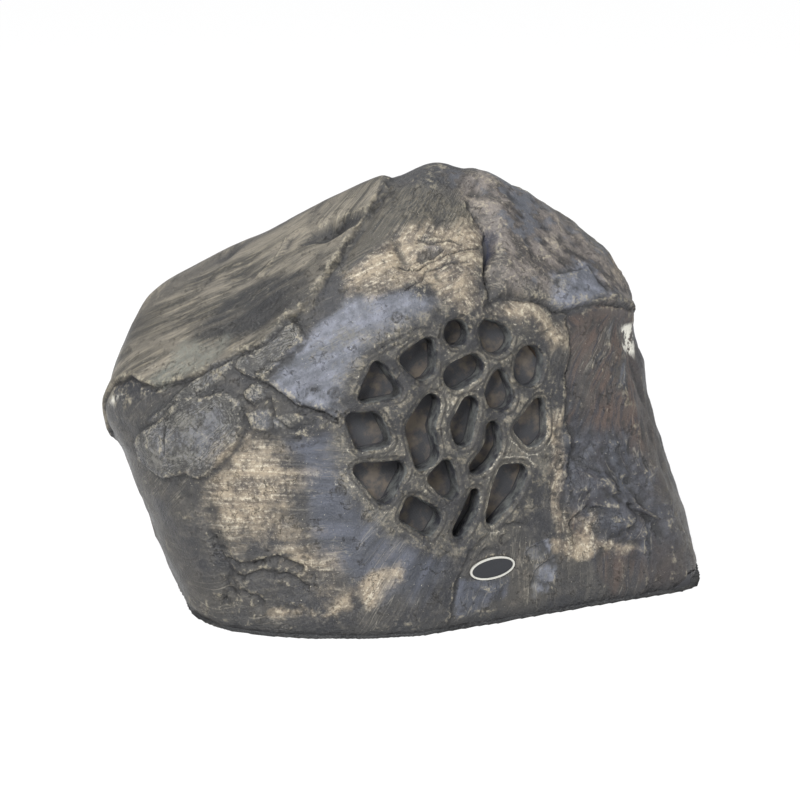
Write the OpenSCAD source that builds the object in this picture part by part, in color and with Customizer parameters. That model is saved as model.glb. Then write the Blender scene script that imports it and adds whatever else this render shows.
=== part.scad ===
// Garden speaker moulded as a boulder.
// A hollow rock shell carries a flat-backed grille of pebble-shaped openings.
// Behind it sit an acoustic cloth, a spacer ring and an eight inch coaxial driver.
// A plate with the crossover on it closes the shell from below.
// The ground is z = 0, the front faces -Y, and the origin is under the middle of the rock.

/* [Rock] */
// Overall width of the rock
rock_w = 470; // [450:5:530]
// Overall depth of the rock
rock_d = 356; // [340:2:400]
// Overall height of the rock
rock_h = 332; // [320:2:380]
// Thickness of the moulded wall
wall = 7; // [6:0.5:9]
// How sharply neighbouring rock faces meet
edge_sharpness = 26; // [18:1:40]
// Height of the shallow swells in the rock's skin
ripple_h = 1.2; // [0:0.1:1.6]

/* [Grille] */
// Thickness of the rock at the middle of the grille
grille_t = 20; // [18:0.5:24]
// How far the flat pad behind the grille reaches past the driver's flange
pad_margin = 6; // [5:0.5:8]
// How much wider each opening is at its front than at its back
draft = 1.2; // [0:0.1:2]
// Width of the spacer ring's rim round the acoustic cloth
cloth_rim = 11; // [10:0.5:12]
// Thickness of the acoustic cloth
cloth_t = 0.8; // [0.5:0.1:1.2]
// Thickness of the spacer ring between cloth and driver
spacer_t = 14; // [13:0.5:18]

/* [Driver] */
// Width of the driver's flange round its mouth
flange_w = 17; // [16:0.5:19]
// Thickness of the driver's flange
flange_t = 3; // [2:0.25:4]
// Radius of the cone's rim
cone_r = 74; // [70:0.5:75]
// Depth from the flange face to the cone's neck
cone_depth = 36; // [32:0.5:38]
// Outer radius of the magnet
magnet_r = 55; // [50:0.5:60]
// Thickness of the magnet
magnet_t = 18; // [15:0.5:22]
// Radius of the steel pole
pole_r = 18; // [16:0.25:18.5]
// Free travel of the cone each way
cone_travel = 4; // [2:0.5:5]
// Outer radius of the tweeter housing
tweeter_r = 21; // [20:0.5:24]
// Number of screws round the driver's flange
driver_screw_count = 8; // [6:1:8]

/* [Base] */
// Height of the base plate above the ground
base_recess = 3; // [2:0.5:5]
// Thickness of the base plate
base_t = 5; // [4:0.5:7]
// Thickness of the base gasket
gasket_t = 1.5; // [1:0.25:2.5]
// Width of the ledge that the base plate seats on
ledge_w = 14; // [12:0.5:16]
// Number of screws round the base plate
base_screw_count = 12; // [8:2:14]

/* [Crossover] */
// Length of the crossover board
board_l = 110; // [100:1:120]
// Width of the crossover board
board_w = 72; // [68:1:80]
// Height of the posts under the crossover board
post_h = 8; // [6:0.5:12]

/* [Cable inlet] */
// Radius of the bore that the speaker cable passes through
cable_r = 3.5; // [2.5:0.25:4]
// Radius of the gland's threaded barrel
barrel_r = 7.6; // [7:0.1:8.5]
// Height of the gland above the ground
gland_z = 46; // [40:1:60]

/* [Badge] */
// Width of the blank oval badge
badge_w = 38; // [30:1:44]
// Height of the blank oval badge
badge_h = 17; // [13:0.5:20]

/* [Hidden] */

// Running gap between pieces that slip past each other
slip = 0.3;
// Gap that keeps two seated faces on different solids from sharing any volume
touch = 0.02;
// Extra length that carries a cut past the face it opens
over = 1;

// Size of the rock as its faces below are given
native = [470, 356, 332];
stretch = [rock_w / native.x, rock_d / native.y, rock_h / native.z];
// Point inside the rock that its faces are measured from
core = [-19, -17, 150];

// Each rock face: bearing from the front, lean above the horizon, distance from the core.
// A bearing of 0 is the front, 90 the right side, -90 the left side.
front = [-7, 12, 109];
front_left = [-27, 10, 121];
lower_left = [-42, 8, 139];
upper_left = [-29, 25, 127];
flank = [-71, 0, 188];
undercut = [-105, -18, 215];
nose = [-97, 15, 217];
left_top = [-118, 25, 206];
slab = [-92, 58, 139];
slab_lip = [-63, 41, 146];
slab_back = [-155, 59, 155];
brow = [-17, 49, 140];
crest = [20, 72, 188];
shoulder_high = [92, 65, 187];
shoulder = [76, 53, 190];
shoulder_low = [66, 32, 211];
cheek = [19, 45, 157];
right_side = [58, 14, 200];
right_tip = [94, 10, 224];
back_right = [125, 12, 215];
back = [178, 6, 170];
back_left = [-156, 8, 190];
back_top = [167, 54, 173];
FACES = [front, front_left, lower_left, upper_left, flank, undercut, nose, left_top, slab,
    slab_lip, slab_back, brow, crest, shoulder_high, shoulder, shoulder_low, cheek,
    right_side, right_tip, back_right, back, back_left, back_top];

function dir(b, h) = [sin(b) * cos(h), -cos(b) * cos(h), sin(h)];
function total(v) = v * [for (x = v) 1];
function clamp(x, lo, hi) = max(lo, min(hi, x));
function smooth(x) = let (t = clamp(x, 0, 1)) t * t * (3 - 2 * t);
NORMALS = [for (f = FACES) dir(f[0], f[1])];

// Distance from the core to faces moved inward by inset, with rounded meeting edges
function faces_r(u, inset) = pow(total([for (i = [0:len(FACES) - 1])
    let (c = NORMALS[i] * u) c > 0 ? pow(c / (FACES[i][2] - inset), edge_sharpness) : 0]),
    -1 / edge_sharpness);

// Rock ledges, steps and hollows, each an outline in bearings and leans.
// They read [mark, lift, edge width, outline]; the mark is the point they are drawn around.
slab_step = [[-100, 42], 6, 9, [[-130, -8], [-118, -9], [-98, -2], [-89, 11], [-82, 17],
    [-75, 25], [-68, 35], [-61, 45], [-61, 57], [-64, 70], [-60, 80], [150, 82], [175, 62],
    [-172, 45], [-158, 28], [-150, 10]]];
slate = [[-80, 10], 5, 7, [[-99, -4], [-95, 0], [-90, 7], [-85, 14], [-80, 22], [-74, 30],
    [-68, 35], [-63, 32], [-69, 23], [-71, 16], [-75, 10], [-73, 3], [-75, -2], [-81, -10],
    [-88, -12], [-96, -9]]];
cheek_step = [[55, 45], 6, 9, [[62, 68], [35, 59], [20, 45], [30, 40], [37, 35], [43, 29],
    [49, 24], [67, 15], [100, 14], [112, 40], [100, 66]]];
side_hollow = [[50, -2], -8, 14, [[42, 26], [40, 19], [38, 4], [34, -7], [30, -18],
    [29, -25], [37, -26], [43, -30], [50, -27], [56, -22], [58, -8], [60, 8], [62, 14],
    [52, 22]]];
front_chip = [[-10, 59], -4, 7, [[-26, 65], [2, 60], [-2, 54], [-22, 57]]];
rear_step = [[160, 20], 5, 8, [[120, 45], [150, 30], [-175, 36], [-170, 10], [-178, -12],
    [165, -5], [150, -20], [128, -10], [118, 20]]];
STEPS = [slab_step, slate, cheek_step, side_hollow, front_chip, rear_step];

// Round swellings and dents, each [mark, lift, radius]
toe = [[57, -30], 13, 42];
nub = [[-110, 1], 5, 16];
ledge_bump = [[33, 32], 5, 14];
fold_upper = [[36, -20], 9, 15];
fold_lower = [[41, -25], 8, 13];
crown_dent = [[-94, 69], -8, 13];
rear_swell = [[-140, 20], 7, 45];
SWELLS = [toe, nub, ledge_bump, fold_upper, fold_lower, crown_dent, rear_swell];

// Creases, each [depth, half width, line of bearings and leans]
cleft = [5, 5, [[61, 68], [35, 59], [20, 45], [30, 40]]];
left_crease = [4, 5, [[-67, 15], [-60, 13], [-52, 10], [-44, 8]]];
flank_crease = [4, 6, [[-98, -4], [-91, -10], [-85, -14], [-79, -16], [-77, -26], [-73, -35]]];
rear_crease = [5, 6, [[-130, 40], [-142, 18], [-138, -4], [-150, -24]]];
CREASES = [cleft, left_crease, flank_crease, rear_crease];

// A mark's own flat drawing plane, in millimetres on a rock of this mean radius
mean_r = 195;
function plane_of(mark) = let (n = dir(mark[0], mark[1]),
    ex = [cos(mark[0]), sin(mark[0]), 0]) [n, ex, cross(n, ex)];
function on_plane(u, pl) = mean_r / (u * pl[0]) * [u * pl[1], u * pl[2]];
function drawn(line, pl) = [for (q = line) on_plane(dir(q[0], q[1]), pl)];
function seg_gap(p, a, b) = let (ab = b - a) norm(p - a - clamp((p - a) * ab / (ab * ab), 0, 1) * ab);
function line_gap(p, line) = min([for (i = [1:len(line) - 1]) seg_gap(p, line[i - 1], line[i])]);
function ring_gap(p, ring) = min(line_gap(p, ring), seg_gap(p, ring[len(ring) - 1], ring[0]));
function crosses(p, a, b) = (a.y > p.y) != (b.y > p.y)
    && p.x < a.x + (b.x - a.x) * (p.y - a.y) / (b.y - a.y) ? 1 : 0;
function inside(p, ring) = total([for (i = [0:len(ring) - 1])
    crosses(p, ring[i], ring[(i + 1) % len(ring)])]) % 2 == 1;
// Reach of a drawing from its mark, for skipping points far outside it
function reach(line) = max([for (q = line) norm(q)]);

STEP_PLANES = [for (s = STEPS) plane_of(s[0])];
STEP_RINGS = [for (i = [0:len(STEPS) - 1]) drawn(STEPS[i][3], STEP_PLANES[i])];
STEP_REACH = [for (r = STEP_RINGS) reach(r)];
CREASE_PLANES = [for (c = CREASES) plane_of(c[2][1])];
CREASE_LINES = [for (i = [0:len(CREASES) - 1]) drawn(CREASES[i][2], CREASE_PLANES[i])];
CREASE_REACH = [for (l = CREASE_LINES) reach(l)];

// Rise of one step at direction u; grow widens its outline
function step_rise(u, i, grow) = let (pl = STEP_PLANES[i], s = STEPS[i]) u * pl[0] < 0.3 ? 0 :
    let (p = on_plane(u, pl)) norm(p) > STEP_REACH[i] + grow + s[2] ? 0 :
    let (gap = ring_gap(p, STEP_RINGS[i]), depth = inside(p, STEP_RINGS[i]) ? gap : -gap)
    s[1] * smooth((depth + grow) / s[2] + 0.5);
function swell_rise(u, s) = let (n = dir(s[0][0], s[0][1])) u * n < 0.5 ? 0 :
    let (g = mean_r * norm(cross(u, n)) / s[2]) s[1] * exp(-g * g);
function crease_rise(u, i) = let (pl = CREASE_PLANES[i], c = CREASES[i]) u * pl[0] < 0.5 ? 0 :
    let (p = on_plane(u, pl)) norm(p) > CREASE_REACH[i] + 3 * c[1] ? 0 :
    let (g = line_gap(p, CREASE_LINES[i]) / c[1]) -c[0] * exp(-g * g);
function ripple(p) = ripple_h * sin(6.1 * p.x + 55 * sin(3.7 * p.z)) * sin(5.3 * p.z + 4.1 * p.y)
    + 0.6 * ripple_h * sin(11 * p.x - 7 * p.z + 40 * sin(6 * p.y));

// Distance from the core to the rock's outer and inner skin
function skin_r(b, h) = let (u = dir(b, h), r = faces_r(u, 0)) r
    + total([for (i = [0:len(STEPS) - 1]) step_rise(u, i, 0)])
    + total([for (s = SWELLS) swell_rise(u, s)])
    + total([for (i = [0:len(CREASES) - 1]) crease_rise(u, i)])
    + ripple(r * u);
// Only hollows deeper than half the wall show on the inside, widened so the wall keeps its thickness
function lining_r(b, h) = let (u = dir(b, h)) faces_r(u, wall)
    + total([for (i = [0:len(STEPS) - 1]) STEPS[i][1] < -wall / 2 ? step_rise(u, i, 12) : 0])
    + total([for (s = SWELLS) s[1] < -wall / 2 ? 1.2 * swell_rise(u, [s[0], s[1], 1.5 * s[2]]) : 0]);

function at(b, h, r) = let (p = core + r * dir(b, h)) [p.x * stretch.x, p.y * stretch.y, p.z * stretch.z];

// Lean at which a skin meets a level above the ground, found by halving
function meets(b, level, outer, lo = -75, hi = 0, n = 13) = let (m = (lo + hi) / 2,
    r = outer ? skin_r(b, m) : lining_r(b, m)) n == 0 ? m :
    (core.z + r * sin(m)) * stretch.z > level ? meets(b, level, outer, lo, m, n - 1)
    : meets(b, level, outer, m, hi, n - 1);

// Bearings lie closer together across the front, where the rock is seen
front_from = -125;
front_to = 80;
front_bearings = 66;
rear_bearings = 24;
BEARINGS = concat(
    [for (i = [0:front_bearings - 1]) front_from + (front_to - front_from) * i / front_bearings],
    [for (i = [0:rear_bearings - 1]) front_to + (360 - front_to + front_from) * i / rear_bearings]);
skin_rings = 32;
LINING_BEARINGS = [for (i = [0:2:len(BEARINGS) - 1]) BEARINGS[i]];
lining_rings = 12;

function flat(v) = [for (a = v) for (b = a) b];
// Closed skin from a level up to the top, one column of points per bearing
function skin_points(bearings, rings, level, outer) = let (
    cols = [for (b = bearings) let (low = meets(b, level, outer)) [for (k = [0:rings - 1])
        let (h = low + (90 - low) * k / rings) k == 0
            ? let (p = at(b, h, outer ? skin_r(b, h) : lining_r(b, h))) [p.x, p.y, level]
            : at(b, h, outer ? skin_r(b, h) : lining_r(b, h))]])
    concat(flat(cols), [at(0, 90, outer ? skin_r(0, 90) : lining_r(0, 90))]);
function skin_faces(n, rings) = let (top = n * rings) concat(
    flat([for (i = [0:n - 1]) let (j = (i + 1) % n) flat([for (k = [0:rings - 2])
        [[i * rings + k, i * rings + k + 1, j * rings + k],
         [j * rings + k, i * rings + k + 1, j * rings + k + 1]]])]),
    [for (i = [0:n - 1]) [i * rings + rings - 1, top, ((i + 1) % n) * rings + rings - 1]],
    [[for (i = [0:n - 1]) i * rings]]);
module skin(bearings, rings, level, outer) {
    polyhedron(skin_points(bearings, rings, level, outer), skin_faces(len(bearings), rings));
}

// Outline of the rock where it meets the ground, and outlines set in from it
function foot(b) = let (low = meets(b, 0, true), p = at(b, low, skin_r(b, low))) [p.x, p.y];
FOOT = [for (b = BEARINGS) foot(b)];
function inset(ring, w) = let (n = len(ring)) [for (i = [0:n - 1])
    let (t = ring[(i + 1) % n] - ring[(i + n - 1) % n], m = [-t.y, t.x] / norm(t)) ring[i] + w * m];

// Stacking heights of the base, from the ground up
plate_top = base_recess + base_t;
ledge_z = plate_top + gasket_t;
ledge_t = 6;
cavity_z = ledge_z + ledge_t;

// Screws round the base sit in the middle of the ledge
base_screw_r = 2.1;
base_screw_l = 16;
base_head_r = 4.2;
base_head_sink = 2;
base_boss_r = 7;
BASE_SCREWS = [for (i = [0:base_screw_count - 1]) let (b = 360 * (i + 0.5) / base_screw_count,
    t = foot(b + 8) - foot(b - 8), mid = (foot(b + 8) + foot(b) + foot(b - 8)) / 3)
    mid + (wall + ledge_w / 2) * [-t.y, t.x] / norm(t)];
module at_base_screws() {
    for (p = BASE_SCREWS) translate([p.x, p.y, 0]) children();
}

// The grille's own frame: z points out of the rock, y up its face
grille_axis = [-11, 11.5];
grille_mark = [-5, 0.5];
// Where the pattern of openings lies on the pad
pattern_shift = [2.6, 2.2];
grille_pos = at(grille_mark[0], grille_mark[1], faces_r(dir(grille_mark[0], grille_mark[1]), 0));
module on_grille(z = 0) {
    translate(grille_pos) rotate([90 - grille_axis[1], 0, grille_axis[0]]) translate([0, 0, z]) children();
}

// Openings in the grille. Each is one or more lobes, each lobe the hull of rounds [x, y, radius].
OPENINGS = [
    [[[7, 71, 10.3]]],
    [[[40, 63, 12], [32, 73, 6]]],
    [[[66.5, 44.5, 11.5], [64.5, 35.5, 11.5]]],
    [[[-17, 64, 6], [-22.5, 45.5, 8], [-35, 55, 5], [-16, 47.5, 4.5]]],
    [[[-57.5, 51.5, 5], [-69, 30, 4.6], [-45, 32, 4.6]]],
    [[[5, 38.5, 10.8], [18, 44, 10]]],
    [[[39.5, 19, 11.3], [40.5, 34, 6], [34.5, 22.5, 7]]],
    [[[72.5, 10, 5], [55, -8, 5.3], [65, -15, 8.5], [71, -11.5, 6]]],
    [[[-79, 14, 4.8], [-62.5, 12, 5.5], [-55.5, -4, 4.6], [-74, -5.5, 5]]],
    [[[-17, 20, 7.3], [-28, 2.5, 11]], [[-28, 2.5, 11], [-24, -18, 10.6], [-29, -25, 5]]],
    [[[14.5, 15.5, 7.2], [7, -8.5, 7.8], [3, -0.5, 6]]],
    [[[32.5, -3.5, 4.8], [32, -17.5, 6.4]], [[32, -17.5, 6.4], [24.5, -27.5, 6.6]],
        [[24.5, -27.5, 6.6], [16.5, -33.5, 5.6]]],
    [[[-76, -25, 5.2], [-46.5, -27, 5.8], [-59.5, -47, 5.6]]],
    [[[-8, -29.5, 5.5], [-19, -37.5, 5.5], [-6.5, -48, 7.2]]],
    [[[-38, -54, 5.2], [-21, -66, 6], [-26.5, -75.5, 5], [-44, -63.5, 4.6]]],
    [[[14.5, -52.5, 3.6], [9, -65.5, 5.4]], [[9, -65.5, 5.4], [-2, -81, 4.8]]],
    [[[39.5, -38.5, 4.6], [54, -40, 5], [44, -54, 7.2], [33.5, -53, 5.4]],
        [[33.5, -53, 5.4], [44, -54, 7.2], [26, -74.5, 4.6]]]];
module openings() {
    deep = grille_t + over;
    high = grille_t;
    for (opening = OPENINGS) for (lobe = opening)
        on_grille(-deep) hull() for (c = lobe)
            translate([c[0] + pattern_shift.x, c[1] + pattern_shift.y, 0])
                cylinder(h = deep + high, r1 = c[2] - draft / 2, r2 = c[2] + draft, $fn = 12);
}

// Driver frame: z = 0 is the front face of the flange, z points out of the rock
gasket_ring_t = 3;
// The half-roll has to be wider than the cone travels
roll_r = max(6, cone_travel + 2);
basket_mouth_r = cone_r + 2 * roll_r;
flange_r = basket_mouth_r + flange_w;
cloth_r = flange_r - cloth_rim;
pad_r = flange_r + pad_margin;
// Lip of the pad that stands back round the spacer ring
pad_lip = 1;
driver_z = -grille_t - cloth_t - spacer_t - gasket_ring_t;
module on_driver(z = 0) {
    on_grille(driver_z + z) children();
}
driver_pcd_r = flange_r - 4.5;
driver_screw_r = 2.4;
// Depth that each driver screw reaches into the pad
driver_screw_bite = 6;
driver_screw_l = driver_screw_bite + spacer_t + cloth_t + gasket_ring_t + flange_t;
module at_driver_screws() {
    for (i = [0:driver_screw_count - 1]) rotate(360 / driver_screw_count * (i + 0.5))
        translate([driver_pcd_r, 0, 0]) children();
}

// Badge frame: on the front face, below the grille
badge_mark = [5, -38];
badge_turn = 4;
badge_t = 2.4;
badge_sink = 1.6;
module on_badge() {
    translate(at(badge_mark[0], badge_mark[1], faces_r(dir(badge_mark[0], badge_mark[1]), 0)))
        rotate([90 - front[1], 0, front[0]]) rotate(badge_turn) translate([0, 0, -badge_sink]) children();
}
function oval(w, h, n = 48) = [for (i = [0:n - 1]) [w / 2 * cos(360 * i / n), h / 2 * sin(360 * i / n)]];

// Gland frame: on the rear face, z points out of the rock
gland_seat = 1.5;
gland_flat_r = 15;
gland_dir = dir(back[0], back[1]);
gland_drop = gland_z / stretch.z - core.z;
gland_pos = let (n = gland_dir, d = back[2], k = (gland_drop - d * n.z) / (n.x * n.x + n.y * n.y))
    let (p = core + d * n + k * [-n.x * n.z, -n.y * n.z, n.x * n.x + n.y * n.y])
    [p.x * stretch.x, p.y * stretch.y, p.z * stretch.z];
module on_gland(z = 0) {
    translate(gland_pos) rotate([90 - back[1], 0, back[0]]) translate([0, 0, z - gland_seat]) children();
}
gland_wall = wall + 2;

module rock_shell() {
    color("#4a4a4b") difference() {
        skin(BEARINGS, skin_rings, 0, true);
        // Cavity, with the grille pad, the gland pad and the base bosses left standing in it
        difference() {
            union() {
                skin(LINING_BEARINGS, lining_rings, cavity_z, false);
                translate([0, 0, ledge_z - over])
                    linear_extrude(ledge_t + 2 * over) polygon(inset(FOOT, wall + ledge_w));
            }
            on_grille(-grille_t - pad_lip) cylinder(r = pad_r, h = 3 * grille_t, $fn = 48);
            on_gland(-gland_wall) cylinder(r = gland_flat_r + 2, h = gland_wall + 10, $fn = 32);
            at_base_screws() translate([0, 0, ledge_z - over])
                cylinder(r = base_boss_r, h = base_screw_l + over, $fn = 12);
        }
        // Rebate that takes the base plate and its gasket
        translate([0, 0, -over]) linear_extrude(ledge_z + over) polygon(inset(FOOT, wall));
        at_base_screws() translate([0, 0, ledge_z - over])
            cylinder(r = base_screw_r, h = base_screw_l - 2, $fn = 8);
        openings();
        // Room behind the pad for the driver's flange
        on_grille(-grille_t - 50) cylinder(r = flange_r + 1, h = 50, $fn = 48);
        on_grille(-grille_t - over) at_driver_screws()
            cylinder(r = driver_screw_r, h = driver_screw_bite + 1 + over, $fn = 8);
        // Flat seats for the badge and the gland
        on_badge() linear_extrude(10) polygon(oval(badge_w + 2 * slip, badge_h + 2 * slip));
        on_gland() cylinder(r = gland_flat_r, h = 12, $fn = 32);
        on_gland(-gland_wall - over) cylinder(r = barrel_r + slip, h = gland_wall + 2 * over, $fn = 32);
    }
}

module grille_cloth() {
    color("#2b2b2d") on_grille(-grille_t - cloth_t) cylinder(r = cloth_r, h = cloth_t - touch, $fn = 96);
}

spacer_bore_r = basket_mouth_r + 2;
module spacer_ring() {
    color("#3a2f26") on_driver(gasket_ring_t) difference() {
        union() {
            cylinder(r = flange_r, h = spacer_t, $fn = 96);
            // Raised rim round the cloth, so the ring also seats on the rock
            difference() {
                cylinder(r = flange_r, h = spacer_t + cloth_t - touch, $fn = 96);
                translate([0, 0, -over])
                    cylinder(r = cloth_r + slip, h = spacer_t + cloth_t + 2 * over, $fn = 96);
            }
        }
        translate([0, 0, -over]) cylinder(r = spacer_bore_r, h = spacer_t + 2 * over, $fn = 96);
        translate([0, 0, -over]) at_driver_screws()
            cylinder(r = driver_screw_r + slip, h = spacer_t + cloth_t + 2 * over, $fn = 24);
    }
}

module badge() {
    rim = 1.6;
    field_depth = 0.6;
    color("#9a9a96") on_badge() difference() {
        linear_extrude(badge_t) polygon(oval(badge_w, badge_h));
        translate([0, 0, badge_t - field_depth]) linear_extrude(over)
            polygon(oval(badge_w - 2 * rim, badge_h - 2 * rim));
    }
}

driver_gasket_w = 8;
gasket_bore_r = flange_r - driver_gasket_w;
module driver_gasket() {
    color("#26262a") on_driver() difference() {
        cylinder(r = flange_r, h = gasket_ring_t, $fn = 96);
        translate([0, 0, -over]) cylinder(r = gasket_bore_r, h = gasket_ring_t + 2 * over, $fn = 96);
        translate([0, 0, -over]) at_driver_screws()
            cylinder(r = driver_screw_r + slip, h = gasket_ring_t + 2 * over, $fn = 24);
    }
}

// Levels of the driver, measured back from the flange face
basket_t = 2;
surround_t = 0.8;
cone_t = 0.8;
lip_w = 4;
cone_lip_r = cone_r - lip_w;
shelf_z = -(cone_depth + 8);
shelf_r = 50;
step_r = 42;
top_plate_z = shelf_z - 14;
top_plate_t = 6;
coil_gap = 0.7;
former_t = 0.6;
former_r = pole_r + coil_gap;
coil_r = former_r + former_t;
coil_t = 1;
coil_l = 14;
top_plate_bore_r = coil_r + coil_t + coil_gap;
magnet_z = top_plate_z - top_plate_t - magnet_t;
back_plate_t = 6;
back_z = magnet_z - back_plate_t;
post_r = 4;
// Radius of the steel plates on either side of the magnet
steel_r = magnet_r - 5;
// Gap round a post or barrel in a hole that it fills
snug = 0.1;

module ring_of(profile) {
    rotate_extrude($fn = 96) polygon(profile);
}

module basket() {
    legs = 6;
    window = 40;
    color("#1f1f21") on_driver() difference() {
        ring_of([[basket_mouth_r, 0], [flange_r, 0], [flange_r, -flange_t],
            [basket_mouth_r + basket_t, -flange_t],
            [shelf_r + basket_t, shelf_z - basket_t], [step_r + basket_t, shelf_z - basket_t],
            [step_r + basket_t, top_plate_z], [top_plate_bore_r + 2, top_plate_z],
            [top_plate_bore_r + 2, top_plate_z + basket_t], [step_r, top_plate_z + basket_t],
            [step_r, shelf_z], [shelf_r, shelf_z], [basket_mouth_r, -flange_t]]);
        for (i = [0:legs - 1]) rotate(360 / legs * i - window / 2) rotate_extrude(angle = window, $fn = 96)
            polygon([[shelf_r + 8, shelf_z - 2 * basket_t], [basket_mouth_r + 6, -flange_t - 8],
                [basket_mouth_r - 12, -flange_t - 8], [shelf_r + 3, shelf_z + 2]]);
        translate([0, 0, -flange_t - over]) at_driver_screws()
            cylinder(r = driver_screw_r + slip, h = flange_t + 2 * over, $fn = 24);
    }
}

module surround() {
    mid_r = cone_r + roll_r;
    steps = 12;
    outer = [for (i = [0:steps]) let (a = 180 * i / steps)
        [mid_r + roll_r * cos(a), roll_r * sin(a)]];
    inner = [for (i = [steps:-1:0]) let (a = 180 * i / steps, r = roll_r - surround_t)
        [mid_r + r * cos(a), r * sin(a)]];
    rim_r = gasket_bore_r - slip;
    color("#202022") on_driver() ring_of(concat([[rim_r, 0], [rim_r, surround_t]],
        [[mid_r + roll_r, surround_t]], [for (i = [1:steps - 1]) outer[i]], [[cone_r, surround_t]],
        [[cone_lip_r, surround_t], [cone_lip_r, 0], [cone_r + surround_t, 0]],
        [for (i = [1:steps - 1]) inner[i]], [[mid_r + roll_r - surround_t, 0]]));
}

neck_l = 4;
module cone() {
    color("#34343a") on_driver() ring_of([[cone_r, 0], [cone_lip_r, 0], [coil_r + 1, -cone_depth],
        [coil_r, -cone_depth], [coil_r, -cone_depth - neck_l], [coil_r + cone_t, -cone_depth - neck_l],
        [coil_r + 1 + cone_t, -cone_depth - cone_t], [cone_lip_r + cone_t, -cone_t], [cone_r, -cone_t]]);
}

spider_t = 0.6;
module spider() {
    waves = 5;
    steps = 40;
    from_r = coil_r;
    to_r = shelf_r - 1;
    flat_from = step_r - 1;
    lift = 1.4;
    line = [for (i = [0:steps]) let (r = from_r + (flat_from - from_r) * i / steps)
        [r, shelf_z + lift * sin(360 * waves * i / steps) * sin(180 * i / steps)]];
    color("#a5814f") on_driver() ring_of(concat(line, [[to_r, shelf_z]], [[to_r, shelf_z + spider_t]],
        [for (i = [steps:-1:0]) line[i] + [0, spider_t]]));
}

coil_mid_z = top_plate_z - top_plate_t / 2;
former_foot_z = coil_mid_z - coil_l / 2;
module voice_coil_former() {
    color("#b9a27a") on_driver() ring_of([[former_r, former_foot_z], [coil_r, former_foot_z],
        [coil_r, -cone_depth], [former_r, -cone_depth]]);
}

module voice_coil() {
    color("#b06a3a") on_driver() ring_of([[coil_r, former_foot_z], [coil_r + coil_t, former_foot_z],
        [coil_r + coil_t, former_foot_z + coil_l], [coil_r, former_foot_z + coil_l]]);
}

module top_plate() {
    color("#7d8084") on_driver() ring_of([[top_plate_bore_r, top_plate_z - top_plate_t],
        [steel_r, top_plate_z - top_plate_t], [steel_r, top_plate_z], [top_plate_bore_r, top_plate_z]]);
}

module magnet() {
    bore_r = pole_r + 9;
    color("#2c2c2e") on_driver() ring_of([[bore_r, magnet_z], [magnet_r - 1, magnet_z],
        [magnet_r, magnet_z + 1], [magnet_r, magnet_z + magnet_t - 1],
        [magnet_r - 1, magnet_z + magnet_t], [bore_r, magnet_z + magnet_t]]);
}

module pole_plate() {
    color("#7d8084") on_driver() ring_of([[post_r + snug, back_z], [steel_r - 1, back_z],
        [steel_r, back_z + 1], [steel_r, magnet_z], [pole_r, magnet_z], [pole_r, top_plate_z - 1],
        [pole_r - 1, top_plate_z], [post_r + snug, top_plate_z]]);
}

tweeter_z = -14;
tweeter_l = 11;
post_nut_t = 4;
housing_floor = 4;
housing_wall = 2;
module tweeter_post() {
    tail = post_nut_t + 4;
    color("#9a9da0") on_driver(back_z - tail) cylinder(r = post_r, h = tweeter_z - back_z + tail, $fn = 48);
}

module post_nut() {
    color("#9a9da0") on_driver(back_z - post_nut_t) difference() {
        cylinder(r = 7.5, h = post_nut_t, $fn = 6);
        translate([0, 0, -over]) cylinder(r = post_r + snug, h = post_nut_t + 2 * over, $fn = 48);
    }
}

module tweeter_housing() {
    color("#19191b") on_driver(tweeter_z) ring_of([[0, 0], [tweeter_r - housing_floor, 0],
        [tweeter_r, housing_floor], [tweeter_r, tweeter_l], [tweeter_r - housing_wall, tweeter_l],
        [tweeter_r - housing_wall, housing_floor], [0, housing_floor]]);
}

dome_r = 12;
dome_seat_r = dome_r + 3;
module tweeter_faceplate() {
    rim_r = tweeter_r - housing_wall - 0.2;
    color("#232326") on_driver(tweeter_z + housing_floor) ring_of([[dome_seat_r, tweeter_l - 8],
        [dome_seat_r, 0], [rim_r, 0], [rim_r, tweeter_l - 4], [rim_r - 1.8, tweeter_l - 3],
        [dome_seat_r, tweeter_l - 6]]);
}

module tweeter_dome() {
    rise = 5;
    ball_r = (dome_r * dome_r + rise * rise) / (2 * rise);
    seat_t = 3;
    color("#c9c3b4") on_driver(tweeter_z + housing_floor) {
        cylinder(r = dome_seat_r - 0.2, h = seat_t, $fn = 64);
        translate([0, 0, seat_t]) intersection() {
            translate([0, 0, rise - ball_r]) sphere(r = ball_r, $fn = 64);
            cylinder(r = dome_r, h = rise + 1, $fn = 64);
        }
    }
}

module terminal_strip() {
    strip_l = 26;
    strip_t = 2;
    tag_l = 7;
    color("#3b2c22") on_driver(shelf_z - basket_t - strip_t) rotate(-150)
        translate([step_r + basket_t + slip, -strip_l / 2, 0]) {
            cube([11, strip_l, strip_t]);
            for (y = [4, 21]) translate([3, y, -tag_l]) cube([6, 0.8, tag_l]);
        }
}

// Pan-head screw, its head's underside at z = 0 and its shank along +Z
module pan_screw(shank_r, shank_l, head_r, head_t) {
    rotate_extrude($fn = 32) polygon([[0, -head_t], [head_r * 0.7, -head_t], [head_r, -head_t * 0.4],
        [head_r, 0], [shank_r, 0], [shank_r, shank_l - shank_r], [0, shank_l]]);
}

module driver_screws() {
    head_t = 3;
    color("#8f9296") on_driver(-flange_t) at_driver_screws() difference() {
        pan_screw(driver_screw_r - slip, driver_screw_l, 4.6, head_t);
        translate([0, 0, -head_t - over]) cylinder(r = 1.8, h = 1.6 + over, $fn = 6);
    }
}

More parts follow.
